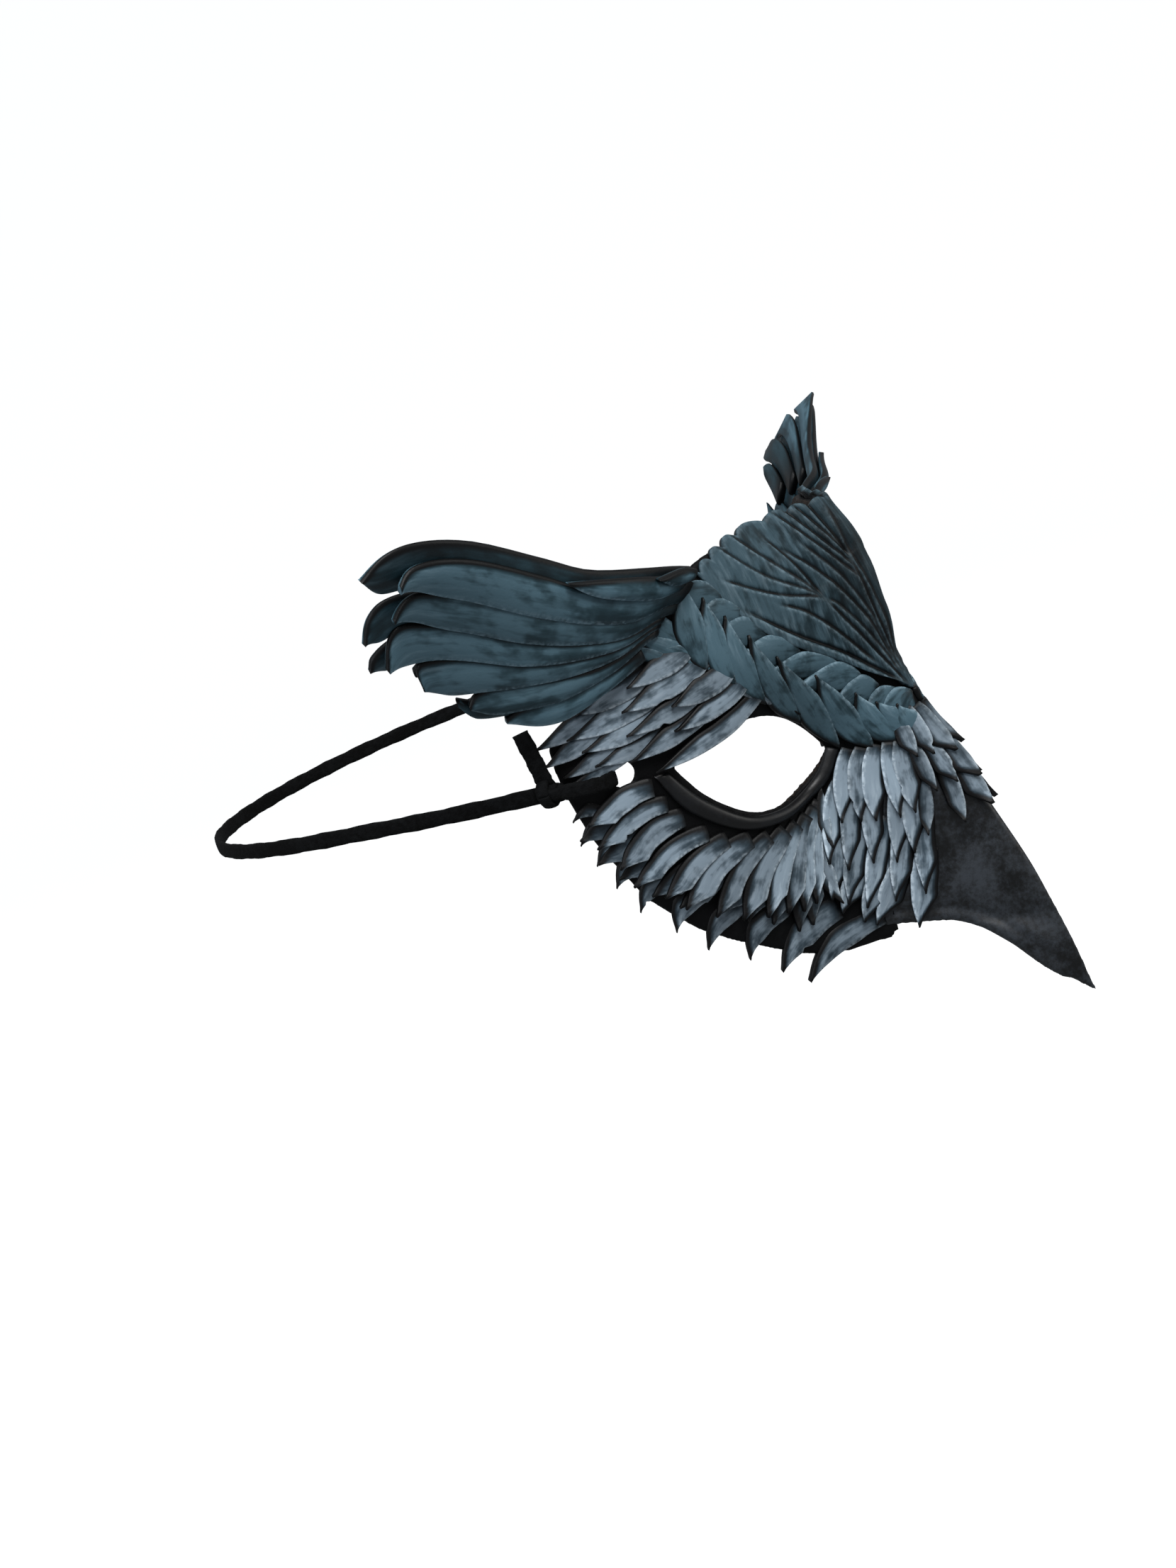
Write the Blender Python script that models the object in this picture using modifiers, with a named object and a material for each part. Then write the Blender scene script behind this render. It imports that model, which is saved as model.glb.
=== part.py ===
"""Carved leather raven half mask with flared wings, a hooked beak and a tie lace.

Frame: +Z up with the wearer's head level, the mask faces -Y, the wearer's left is +X.
The origin is the middle of the wearer's head, between the ears. Units are metres.
"""
import math

import bmesh
import bpy
from mathutils import Vector

MM = 0.001
GAP = 0.4 * MM
SHELL_THICKNESS = 2.4 * MM
FEATHER_THICKNESS = 1.8 * MM
BROW_THICKNESS = 2.8 * MM
RIM_THICKNESS = 1.6 * MM
BEAK_WALL = 2.2 * MM
WING_THICKNESS = 2.0 * MM
TIE_HOLE_RADIUS = 3.0 * MM
LACE_RADIUS = 1.4 * MM
LOOP_RADIUS = 0.9 * MM
KNOT_SIZE = (3.2 * MM, 4.0 * MM, 3.7 * MM)
LACE_PIVOT = Vector((0.0, -49.3 * MM, 32.0 * MM))
LACE_HALF_WIDTH = 76.0 * MM
LACE_BACK = 98.0 * MM

# Design sections of the mask's outer face: height, then (half width, forward) pairs from the
# ridge line over the nose flank, the cheek and the temple to the side edge, all in mm.
SECTIONS = (
    (-45, ((0, 138), (8.5, 118), (18, 99), (27, 87), (38, 76), (48, 61), (56, 42), (60, 15))),
    (-30, ((0, 134.5), (8.5, 119), (17, 102), (27, 90), (40, 79), (51, 64), (60, 44), (65, 15))),
    (-15, ((0, 129.5), (7.5, 118), (15, 104), (26, 91), (40, 82), (54, 67), (64, 45), (69, 15))),
    (0, ((0, 124), (6.5, 117), (13, 105), (22, 91.5), (39, 84), (56, 68), (67, 46), (72, 15))),
    (15, ((0, 118), (5.5, 113.5), (11, 105), (20, 92.5), (38, 85), (57, 68), (69, 46), (75, 15))),
    (30, ((0, 114.5), (6, 111), (12, 104.5), (24, 94), (42, 84), (58, 68), (70, 46), (76, 15))),
    (45, ((0, 114.5), (7, 110), (14.5, 103.5), (29, 94), (45, 83), (58, 67), (69, 45), (76, 15))),
    (60, ((0, 112.5), (7, 107.5), (15, 101.5), (30, 92), (45, 81), (57, 65), (67, 43), (74, 15))),
    (75, ((0, 107.5), (7, 102), (15, 96), (30, 88), (44, 77), (56, 61), (65, 40), (70, 15))),
    (90, ((0, 99.5), (7, 94.5), (15, 88.5), (29, 81), (43, 70), (54, 55), (62, 36), (66, 15))),
)
BEAK_RISE = 4.5
# Hooked end of the beak: height, ridge forward, back edge forward, back half width, in mm.
HOOK = (
    (-42, 137.4, 113, 10.5),
    (-46, 138.3, 120, 8),
    (-51, 139.3, 126, 6),
    (-56, 140.2, 130.5, 4),
    (-60, 140.8, 134.5, 2.6),
    (-63.5, 141.2, 139, 1.2),
)


def spline(before, start, end, after, t):
    """Smooth step between start and end, shaped by their outer neighbours."""
    return 0.5 * (2 * start + (end - before) * t
                  + (2 * before - 5 * start + 4 * end - after) * t * t
                  + (3 * start - before - 3 * end + after) * t ** 3)


def smooth_path(points, count):
    """Evenly numbered points along a smooth curve through the given points."""
    path = [Vector(point) for point in points]
    last = len(path) - 1
    result = []
    for step in range(count + 1):
        along = last * step / count
        i = min(int(along), last - 1)
        before = path[i - 1] if i > 0 else 2 * path[0] - path[1]
        after = path[i + 2] if i + 2 <= last else 2 * path[last] - path[last - 1]
        result.append(spline(before, path[i], path[i + 1], after, along - i))
    return result


def section_point(section, column):
    """One point of a section; column 0 is the ridge line and negative columns mirror."""
    if column < 0:
        width, forward = section[-column]
        return Vector((-width, forward))
    if column > 7:
        return 2 * Vector(section[7]) - Vector(section[6])
    return Vector(section[column])


def face_point(column, height):
    """Point of the mask's outer face; a negative column lies on the wearer's right."""
    side = -1 if column < 0 else 1
    column = abs(column)
    row = min(max(int(math.floor((height + 45) / 15)), 0), len(SECTIONS) - 2)
    up = (height + 45) / 15 - row
    j = min(int(column), 6)
    across = []
    for i in range(row - 1, row + 3):
        section = SECTIONS[min(max(i, 0), len(SECTIONS) - 1)][1]
        neighbours = [section_point(section, j + k) for k in (-1, 0, 1, 2)]
        across.append(spline(*neighbours, column - j))
    if row == 0:
        across[0] = 2 * across[1] - across[2]
    if row == len(SECTIONS) - 2:
        across[3] = 2 * across[2] - across[1]
    width, forward = spline(*across, up)
    return Vector((side * width, -forward, height)) * MM


def face_normal(column, height):
    """Outward direction of the mask's face."""
    along = face_point(column + 0.02, height) - face_point(column - 0.02, height)
    up = face_point(column, height + 0.5) - face_point(column, height - 0.5)
    return along.cross(up).normalized()


def raised(column, height, out):
    return face_point(column, height) + face_normal(column, height) * out


def new_object(name, mesh, collection, material):
    part = bpy.data.objects.new(name, mesh)
    collection.objects.link(part)
    if material:
        mesh.materials.append(material)
    return part


def mesh_of(name, vertices, faces):
    mesh = bpy.data.meshes.new(name)
    mesh.from_pydata([tuple(v) for v in vertices], [], faces)
    mesh.update()
    return mesh


def grid_mesh(name, rows):
    """Open surface lofted through equally long rows of points."""
    wide = len(rows[0])
    faces = []
    for i in range(len(rows) - 1):
        for j in range(wide - 1):
            a = i * wide + j
            faces.append((a, a + 1, a + wide + 1, a + wide))
    return mesh_of(name, [point for row in rows for point in row], faces)


def thicken(part, thickness, offset):
    solid = part.modifiers.new("leather", "SOLIDIFY")
    solid.thickness = thickness
    solid.offset = offset


def sheet(name, collection, material, lower, upper, side, out, thickness, steps, across):
    """Leather sheet lying on the face between two border lines of (column, height)."""
    low = smooth_path([(c, h, 0) for c, h in lower], steps)
    high = smooth_path([(c, h, 0) for c, h in upper], steps)
    rows = []
    for k in range(across + 1):
        row = []
        for a, b in zip(low, high):
            column, height = a.lerp(b, k / across)[:2]
            row.append(raised(side * column, height, out))
        rows.append(row)
    middle = low[steps // 2].lerp(high[steps // 2], 0.5)
    mesh = grid_mesh(name, rows)
    outward = face_normal(side * middle[0], middle[1])
    facing = mesh.polygons[len(mesh.polygons) // 2].normal.dot(outward)
    part = new_object(name, mesh, collection, material)
    thicken(part, thickness, 1 if facing > 0 else -1)
    return part


def closed_loft(name, rings):
    """Closed solid through rings of equal length, fanned shut at both ends."""
    count = len(rings[0])
    vertices = [point for ring in rings for point in ring]
    faces = []
    for i in range(len(rings) - 1):
        for j in range(count):
            a = i * count + j
            b = i * count + (j + 1) % count
            faces.append((a, b, b + count, a + count))
    for start, flip in ((0, True), ((len(rings) - 1) * count, False)):
        centre = len(vertices)
        vertices.append(sum(vertices[start:start + count], Vector()) / count)
        for j in range(count):
            a = start + j
            b = start + (j + 1) % count
            faces.append((b, a, centre) if flip else (a, b, centre))
    mesh = mesh_of(name, vertices, faces)
    shape = bmesh.new()
    shape.from_mesh(mesh)
    bmesh.ops.recalc_face_normals(shape, faces=shape.faces)
    shape.to_mesh(mesh)
    shape.free()
    return mesh


def cut(part, cutter, name):
    boolean = part.modifiers.new(name, "BOOLEAN")
    boolean.object = cutter
    boolean.operation = "DIFFERENCE"
    boolean.solver = "EXACT"


def as_cutter(name, mesh, collection):
    cutter = new_object(name, mesh, collection, None)
    cutter.hide_render = True
    cutter.display_type = "WIRE"
    return cutter


def leather(name, colour, roughness):
    material = bpy.data.materials.new(name)
    material.use_nodes = True
    shader = material.node_tree.nodes["Principled BSDF"]
    shader.inputs["Base Color"].default_value = (*colour, 1)
    shader.inputs["Roughness"].default_value = roughness
    shader.inputs["Metallic"].default_value = 0.0
    return material


# Outline of the eye hole as (column, height), from the outer corner over the top.
EYE_OUTLINE = ((4.70, 27), (4.42, 29.3), (4.05, 30.6), (3.65, 31), (3.3, 28.8), (3.0, 23.8),
               (2.70, 15), (2.95, 10.2), (3.35, 7.2), (3.75, 6.6), (4.15, 9), (4.5, 16.5))
TIE_HOLE = (5.25, 30)


def eye_cutter(side, collection):
    rings = []
    for out in (-9 * MM, 9 * MM):
        rings.append([raised(side * c, h, out) for c, h in EYE_OUTLINE])
    return as_cutter("eye_cutter", closed_loft("eye_cutter", rings), collection)


def tie_hole_cutter(side, collection):
    column, height = TIE_HOLE
    centre = face_point(side * column, height)
    normal = face_normal(side * column, height)
    mesh = bpy.data.meshes.new("tie_hole_cutter")
    shape = bmesh.new()
    bmesh.ops.create_cone(shape, cap_ends=True, segments=20, radius1=TIE_HOLE_RADIUS,
                          radius2=TIE_HOLE_RADIUS, depth=16 * MM)
    turn = Vector((0, 0, 1)).rotation_difference(normal)
    for vertex in shape.verts:
        vertex.co = turn @ vertex.co + centre
    shape.to_mesh(mesh)
    shape.free()
    return as_cutter("tie_hole_cutter", mesh, collection)


def nose_cutter(collection):
    """Prism that opens the shell where the beak takes over from the nose bridge."""
    edge = ((8, 12.0), (0, 12.9), (-15, 14.8), (-30, 16.8), (-50, 18.3))
    outline = [(w, h) for h, w in edge] + [(-w, h) for h, w in reversed(edge)]
    rings = []
    for forward in (60, 160):
        rings.append([Vector((x, -forward, z)) * MM for x, z in outline])
    return as_cutter("nose_cutter", closed_loft("nose_cutter", rings), collection)


def face_shell(collection, cutters, material):
    edge = ((5.85, 41), (5.85, 32), (5.8, 23), (5.76, 14), (5.66, 6), (5.55, -3), (5.3, -12),
            (5.05, -19), (4.6, -26), (4.1, -32), (3.7, -37), (3.0, -39), (2.4, -38), (0, -38))
    brow = ((5.80, 43), (5.6, 45), (5.3, 48), (4.9, 53), (4.55, 59), (4.2, 65), (3.9, 69),
            (3.6, 71), (3.4, 72), (3.1, 73.3), (2.7, 74), (2.2, 74.6), (1.3, 75), (0, 75))
    lower = [(-c, h) for c, h in edge] + list(reversed(edge[:-1]))
    upper = [(-c, h) for c, h in brow] + list(reversed(brow[:-1]))
    shell = sheet("face_shell", collection, material, lower, upper, 1,
                  -SHELL_THICKNESS, SHELL_THICKNESS, 60, 14)
    for side in (-1, 1):
        cut(shell, eye_cutter(side, cutters), "eye_hole")
        cut(shell, tie_hole_cutter(side, cutters), "tie_hole")
    cut(shell, nose_cutter(cutters), "nose_opening")
    return shell


def beak_section(height, inset):
    """Half horseshoe of the beak, ridge first, at one height; returns (width, forward)."""
    heights = [-38] + [row[0] for row in HOOK]
    if height >= -38:
        points = [face_point(1.9 * k / 6, height) / MM for k in range(7)]
        half = [(p.x, -p.y) for p in points]
    else:
        row = next(i for i in range(len(HOOK)) if height >= HOOK[i][0])
        _, ridge, back, width = HOOK[row]
        half = [(width * math.sin(math.pi / 2 * (k / 6) ** 1.15),
                 ridge - (ridge - back) * (k / 6) ** 1.6) for k in range(7)]
    if inset:
        moved = []
        for k, (width, forward) in enumerate(half):
            ahead = half[min(k + 1, 6)]
            behind = half[k - 1] if k else (-half[1][0], half[1][1])
            run = Vector((ahead[0] - behind[0], ahead[1] - behind[1])).normalized()
            moved.append((width + run.y * inset, forward - run.x * inset))
        half = [(0, moved[0][1])] + [(max(w, 0.3), f) for w, f in moved[1:]]
    return half


def back_rise(height):
    """How far the lower rear edge of the beak is drawn up at one height."""
    if height > -36:
        t = min(max((-22 - height) / 14, 0), 1)
    else:
        t = 1 - min(max((-44 - height) / 16, 0), 1)
    return BEAK_RISE * t * t * (3 - 2 * t)


def beak_ring(height, inset=0.0, back=None):
    half = beak_section(height, inset)
    half = [(w, f, height + back_rise(height) * (k / 6) ** 2) for k, (w, f) in enumerate(half)]
    if back is not None:
        half = half + [(half[-1][0], back, half[-1][2])]
    ring = half + [(-w, f, z) for w, f, z in reversed(half[1:])]
    return [Vector((x, -f, z)) * MM for x, f, z in ring]


def beak(collection, cutters, material):
    heights = [7.4, 3, -3, -9, -15, -21, -27, -33, -38] + [row[0] for row in HOOK]
    part = new_object("beak", closed_loft("beak", [beak_ring(h) for h in heights]),
                      collection, material)
    wall = BEAK_WALL / MM
    inner = [beak_ring(min(h, 7.4), wall, 80) for h in (7.4, -3, -15, -27, -33, -38, -42, -46)]
    for point in inner[0]:
        point.z = 14 * MM
    hollow = as_cutter("beak_hollow", closed_loft("beak_hollow", inner), cutters)
    cut(part, hollow, "hollow")
    return part


def wing_line(points, count):
    return smooth_path([Vector(p) * MM for p in points], count)


def bent(points, side, drop, back):
    """Wing line of one side; the tips of the left wing are pressed lower and further back."""
    if side < 0:
        return [(-x, y, z) for x, y, z in points]
    last = len(points) - 1
    return [(x, y + back * (i / last) ** 1.5, z - drop * (i / last) ** 1.3)
            for i, (x, y, z) in enumerate(points)]


def wing(name, collection, material, top, bottom, steps, across):
    """Blade of wing feathers lofted from its top edge to its bottom edge."""
    first = wing_line(top, steps)
    second = wing_line(bottom, steps)
    rows = [[a.lerp(b, k / across) for a, b in zip(first, second)] for k in range(across + 1)]
    part = new_object(name, grid_mesh(name, rows), collection, material)
    thicken(part, WING_THICKNESS, 0)
    return part


def tube(name, points, radius, collection, material):
    curve = bpy.data.curves.new(name, "CURVE")
    curve.dimensions = "3D"
    curve.bevel_depth = radius
    curve.bevel_resolution = 2
    curve.use_fill_caps = True
    line = curve.splines.new("POLY")
    line.points.add(len(points) - 1)
    for point, place in zip(line.points, points):
        point.co = (*place, 1)
    part = bpy.data.objects.new(name, curve)
    collection.objects.link(part)
    curve.materials.append(material)
    return part


def knot_place(side):
    return Vector((side * 73.2 * MM, LACE_PIVOT.y, LACE_PIVOT.z))


def knot(side, name, collection, material):
    mesh = bpy.data.meshes.new(name)
    shape = bmesh.new()
    bmesh.ops.create_uvsphere(shape, u_segments=14, v_segments=8, radius=1)
    for vertex in shape.verts:
        vertex.co = Vector((vertex.co.x * KNOT_SIZE[0], vertex.co.y * KNOT_SIZE[1],
                            vertex.co.z * KNOT_SIZE[2]))
    shape.to_mesh(mesh)
    shape.free()
    mesh.shade_smooth()
    part = new_object(name, mesh, collection, material)
    part.location = knot_place(side)
    return part


def lace_loop(side, name, collection, material):
    """Strand from the knot over the edge, in through the tie hole and back inside."""
    column, height = TIE_HOLE
    place = knot_place(side)
    route = [
        place + Vector((side * -0.2, -5.3, -0.6)) * MM,
        raised(side * 5.6, 30.3, 4.0 * MM),
        raised(side * 5.45, 30, 3.7 * MM),
        raised(side * 5.32, 30, 1.6 * MM),
        raised(side * 5.28, 30, -1.2 * MM),
        raised(side * 5.32, 30, -4.0 * MM),
        raised(side * 5.5, 29.9, -4.9 * MM),
        raised(side * 5.75, 29.9, -4.6 * MM),
        raised(side * 5.95, 30.2, -3.0 * MM),
        place + Vector((side * -3.0, 3.6, -1.6)) * MM,
    ]
    return tube(name, smooth_path(route, 19), LOOP_RADIUS, collection, material)


def lace_tail(side, name, collection, material):
    place = knot_place(side)
    route = [place + Vector((side * 0.3, 0.3, 4.9)) * MM,
             place + Vector((side * 1.0, 0.9, 9.5)) * MM,
             place + Vector((side * 1.2, 2.0, 15.5)) * MM]
    return tube(name, smooth_path(route, 6), LOOP_RADIUS, collection, material)


def lace(collection, material, pivot):
    """Lace from one knot round the back of the head to the other."""
    half = []
    start = knot_place(1) + Vector((0.2, 5.2, -0.2)) * MM
    middle = Vector((LACE_HALF_WIDTH, 6 * MM, 31.5 * MM))
    for k in range(6):
        t = k / 6
        bow = math.sin(math.pi * t) * 1.2 * MM
        half.append(start.lerp(middle, t) + Vector((bow, 0, 0)))
    for k in range(17):
        angle = math.pi / 2 * k / 17
        deep = 6 * MM + (LACE_BACK - 6 * MM) * math.sin(angle)
        height = 31.5 * MM - 5.5 * MM * math.sin(angle) ** 1.5
        half.append(Vector((LACE_HALF_WIDTH * math.cos(angle), deep, height)))
    end = Vector((0, LACE_BACK, 26 * MM))
    points = half + [end] + [Vector((-p.x, p.y, p.z)) for p in reversed(half)]
    part = tube("lace", [p - LACE_PIVOT for p in points], LACE_RADIUS, collection, material)
    part.parent = pivot
    return part


FAN_EDGE = ((0, 75), (1.2, 76), (2.2, 76), (2.8, 75), (3.4, 71))
FAN_FOOT = ((0, 22.5), (1.0, 25), (1.7, 30.5), (2.6, 42), (3.2, 64))
BROW_TOP = ((0.12, 20.5), (1.2, 24), (1.8, 29), (2.75, 41.5), (3.15, 52), (3.4, 61), (3.6, 70))
BROW_FOOT = ((0.14, 13), (1.5, 11.8), (2.35, 14.5), (3.15, 31.5), (3.6, 41), (4.0, 51),
             (4.3, 62))
TEMPLE_TOP = ((3.35, 34), (3.75, 41), (4.1, 49), (4.55, 51), (5.0, 50), (5.4, 46), (5.8, 42.5))
TEMPLE_FOOT = ((3.55, 32.6), (4.0, 32.4), (4.4, 31), (4.75, 29), (5.0, 32), (5.3, 34.8),
               (5.8, 35))
RIM_INNER = ((4.78, 26), (4.56, 16), (4.2, 8), (3.77, 5.6), (3.35, 6), (2.93, 9), (2.62, 15))
RIM_OUTER = ((4.95, 26), (4.77, 14), (4.35, 4.5), (3.8, 1.6), (3.25, 2), (2.7, 5.5),
             (2.35, 13))
CHEEK_TOP = ((5.05, 26.5), (4.84, 14), (4.42, 3.9), (3.84, 0.9), (3.25, 1.2), (3.0, 2.4))
CHEEK_FOOT = ((5.8, 25), (5.74, 12), (5.5, 1), (5.0, -9), (4.3, -17), (3.65, -22))
NOSE_TOP = ((1.05, 10.4), (1.6, 9.6), (2.2, 11), (2.62, 4.2), (2.93, 1.5))
NOSE_FOOT = ((2.08, -32), (2.3, -30), (2.6, -26.5), (2.95, -22), (3.4, -16))
BRIDGE_TOP = ((-0.9, 9.9), (-0.35, 11.6), (0.35, 11.6), (0.9, 9.9))
BRIDGE_FOOT = ((-0.95, -2), (-0.35, -13), (0.35, -13), (0.95, -2))
WING_TOP = ((42.5, -87, 72.5), (56, -85, 76), (71, -79, 81), (83, -75, 88), (103, -70, 98),
            (118, -64.5, 102), (129, -58, 101))
WING_MIDDLE = ((51.5, -79.5, 63.5), (61.3, -76.5, 64), (72.2, -71.7, 67.7), (85, -66, 73.5),
               (99.8, -59, 81.3), (111.3, -51.5, 85), (118.8, -45, 82.8))
WING_LOW_TOP = ((51.5, -79, 62), (61.3, -75.5, 62.4), (73.2, -70.2, 65.7), (85, -64.3, 71.5),
                (99.6, -57.3, 78.8), (109, -50.7, 82), (113.5, -46, 80.8))
WING_FOOT = ((54.5, -76, 54.5), (64, -68.7, 52.3), (73.5, -62.7, 52.6), (83.8, -56, 56.3),
             (91.8, -51, 60), (96.8, -47.5, 63.7), (101.6, -44.5, 69.3))
LEFT_TOP_PRESS = (12, 5)
LEFT_MIDDLE_PRESS = (3, 0)


def side_pieces(side, word, parts, dark, slate, pale, black):
    """The pieces that one half of the mask has, mirrored on the other half."""
    out = GAP
    sheet("brow_band_" + word, parts, slate, BROW_FOOT, BROW_TOP, side, out,
          BROW_THICKNESS, 18, 4)
    sheet("temple_feathers_" + word, parts, pale, TEMPLE_FOOT, TEMPLE_TOP, side, out,
          FEATHER_THICKNESS, 12, 4)
    sheet("eye_rim_" + word, parts, black, RIM_OUTER, RIM_INNER, side, out,
          RIM_THICKNESS, 20, 1)
    sheet("cheek_feathers_" + word, parts, pale, CHEEK_FOOT, CHEEK_TOP, side, out,
          FEATHER_THICKNESS, 16, 6)
    sheet("nose_feathers_" + word, parts, pale, NOSE_FOOT, NOSE_TOP, side, 1.8 * GAP,
          FEATHER_THICKNESS, 8, 8)
    wing("wing_upper_" + word, parts, slate, bent(WING_TOP, side, *LEFT_TOP_PRESS),
         bent(WING_MIDDLE, side, *LEFT_MIDDLE_PRESS), 14, 4)
    wing("wing_lower_" + word, parts, slate, bent(WING_LOW_TOP, side, *LEFT_MIDDLE_PRESS),
         bent(WING_FOOT, side, 0, 0), 14, 4)
    lace_loop(side, "lace_loop_" + word, parts, dark)
    knot(side, "knot_" + word, parts, dark)
    lace_tail(side, "lace_tail_" + word, parts, dark)


def build():
    for thing in list(bpy.data.objects):
        bpy.data.objects.remove(thing, do_unlink=True)
    parts = bpy.data.collections.new("raven_half_mask")
    cutters = bpy.data.collections.new("cutters")
    bpy.context.scene.collection.children.link(parts)
    bpy.context.scene.collection.children.link(cutters)

    black = leather("black_polished_leather", (0.012, 0.013, 0.015), 0.38)
    dark = leather("black_suede_lace", (0.010, 0.010, 0.011), 0.85)
    slate = leather("slate_brushed_leather", (0.045, 0.075, 0.090), 0.55)
    pale = leather("pale_brushed_leather", (0.130, 0.165, 0.210), 0.58)

    face_shell(parts, cutters, black)
    beak(parts, cutters, black)
    lower = [(-c, h) for c, h in reversed(FAN_FOOT[1:])] + list(FAN_FOOT)
    upper = [(-c, h) for c, h in reversed(FAN_EDGE[1:])] + list(FAN_EDGE)
    sheet("forehead_fan", parts, slate, lower, upper, 1, GAP, FEATHER_THICKNESS, 24, 7)
    sheet("bridge_feathers", parts, pale, BRIDGE_FOOT, BRIDGE_TOP, 1, GAP,
          FEATHER_THICKNESS, 12, 6)
    for side, word in ((-1, "right"), (1, "left")):
        side_pieces(side, word, parts, dark, slate, pale, black)

    pivot = bpy.data.objects.new("lace_pivot", None)
    pivot.location = LACE_PIVOT
    parts.objects.link(pivot)
    lace(parts, dark, pivot)


build()
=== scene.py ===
import math
import random

import bmesh
import bpy
import numpy as np
from mathutils import Matrix, Vector


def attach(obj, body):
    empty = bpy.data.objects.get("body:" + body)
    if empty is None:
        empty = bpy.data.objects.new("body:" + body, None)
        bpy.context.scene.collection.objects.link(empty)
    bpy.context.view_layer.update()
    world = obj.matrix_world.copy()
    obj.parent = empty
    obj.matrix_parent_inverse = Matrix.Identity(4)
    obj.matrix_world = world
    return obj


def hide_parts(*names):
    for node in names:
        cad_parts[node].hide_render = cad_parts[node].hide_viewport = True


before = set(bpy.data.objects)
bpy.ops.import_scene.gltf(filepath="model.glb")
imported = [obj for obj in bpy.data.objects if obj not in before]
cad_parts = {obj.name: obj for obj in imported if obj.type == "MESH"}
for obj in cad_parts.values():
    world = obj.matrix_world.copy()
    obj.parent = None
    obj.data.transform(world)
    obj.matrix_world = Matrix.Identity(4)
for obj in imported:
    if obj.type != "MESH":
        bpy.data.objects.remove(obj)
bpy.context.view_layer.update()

mm = 0.001
sideName = {1: "left", -1: "right"}  # the wearer's sides, left is +X


# camera
cameraSetup = {
    "azimuth": -58.0,  # degrees round the mask, from the wearer's right front
    "elevation": 12.5,
    "roll": -18.5,  # the head is worn tipped forward
    "distance": 667.4,  # mm from the ear line
    "aside": -8.3,
    "up": -14.6,
    "lens": 54.1,
}


def addCamera(setup):
    a, e, r = (math.radians(setup[k]) for k in ("azimuth", "elevation", "roll"))
    back = Vector((math.sin(a) * math.cos(e), -math.cos(a) * math.cos(e), math.sin(e)))
    level = (-back).cross(Vector((0, 0, 1))).normalized()
    upward = back.cross(level)
    right = level * math.cos(r) + upward * math.sin(r)
    top = upward * math.cos(r) - level * math.sin(r)
    place = back * setup["distance"] - right * setup["aside"] - top * setup["up"]
    data = bpy.data.cameras.new("camera")
    data.lens = setup["lens"]
    data.sensor_width = 36
    data.clip_start = 0.01
    camera = bpy.data.objects.new("camera", data)
    turn = Matrix((right, top, back)).transposed().to_4x4()
    camera.matrix_world = Matrix.Translation(place * mm) @ turn
    bpy.context.scene.collection.objects.link(camera)
    bpy.context.scene.camera = camera


addCamera(cameraSetup)
print("camera placed")


# the mask's face as a surface
faceSections = {  # height: (half width, forward) from the ridge line to the side edge, mm
    -45: ((0, 138), (8.5, 118), (18, 99), (27, 87), (38, 76), (48, 61), (56, 42), (60, 15)),
    -30: ((0, 134.5), (8.5, 119), (17, 102), (27, 90), (40, 79), (51, 64), (60, 44), (65, 15)),
    -15: ((0, 129.5), (7.5, 118), (15, 104), (26, 91), (40, 82), (54, 67), (64, 45), (69, 15)),
    0: ((0, 124), (6.5, 117), (13, 105), (22, 91.5), (39, 84), (56, 68), (67, 46), (72, 15)),
    15: ((0, 118), (5.5, 113.5), (11, 105), (20, 92.5), (38, 85), (57, 68), (69, 46), (75, 15)),
    30: ((0, 114.5), (6, 111), (12, 104.5), (24, 94), (42, 84), (58, 68), (70, 46), (76, 15)),
    45: ((0, 114.5), (7, 110), (14.5, 103.5), (29, 94), (45, 83), (58, 67), (69, 45), (76, 15)),
    60: ((0, 112.5), (7, 107.5), (15, 101.5), (30, 92), (45, 81), (57, 65), (67, 43), (74, 15)),
    75: ((0, 107.5), (7, 102), (15, 96), (30, 88), (44, 77), (56, 61), (65, 40), (70, 15)),
    90: ((0, 99.5), (7, 94.5), (15, 88.5), (29, 81), (43, 70), (54, 55), (62, 36), (66, 15)),
}
wingEdges = (  # top, middle and foot of the left wing from root to tip, mm
    ((42.5, -87, 72.5), (56, -85, 76), (71, -79, 81), (83, -75, 88), (103, -70, 98),
     (118, -64.5, 102), (129, -58, 101)),
    ((51.5, -79.5, 63.5), (61.3, -76.5, 64), (72.2, -71.7, 67.7), (85, -66, 73.5),
     (99.8, -59, 81.3), (111.3, -51.5, 85), (118.8, -45, 82.8)),
    ((54.5, -76, 54.5), (64, -68.7, 52.3), (73.5, -62.7, 52.6), (83.8, -56, 56.3),
     (91.8, -51, 60), (96.8, -47.5, 63.7), (101.6, -44.5, 69.3)),
)
leftPress = ((19, 4), (7, 0), (1, 0))  # how far the left wing's lines drop and go back, mm


def splineMix(a, b, c, d, t):
    return 0.5 * (2 * b + (c - a) * t + (2 * a - 5 * b + 4 * c - d) * t * t
                  + (3 * b - a - 3 * c + d) * t ** 3)


def padded(grid, axis):  # one more row each way, so that the spline has neighbours
    first, second = np.take(grid, [0], axis), np.take(grid, [1], axis)
    last, before = np.take(grid, [-1], axis), np.take(grid, [-2], axis)
    return np.concatenate([2 * first - second, grid, 2 * last - before], axis)


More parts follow.
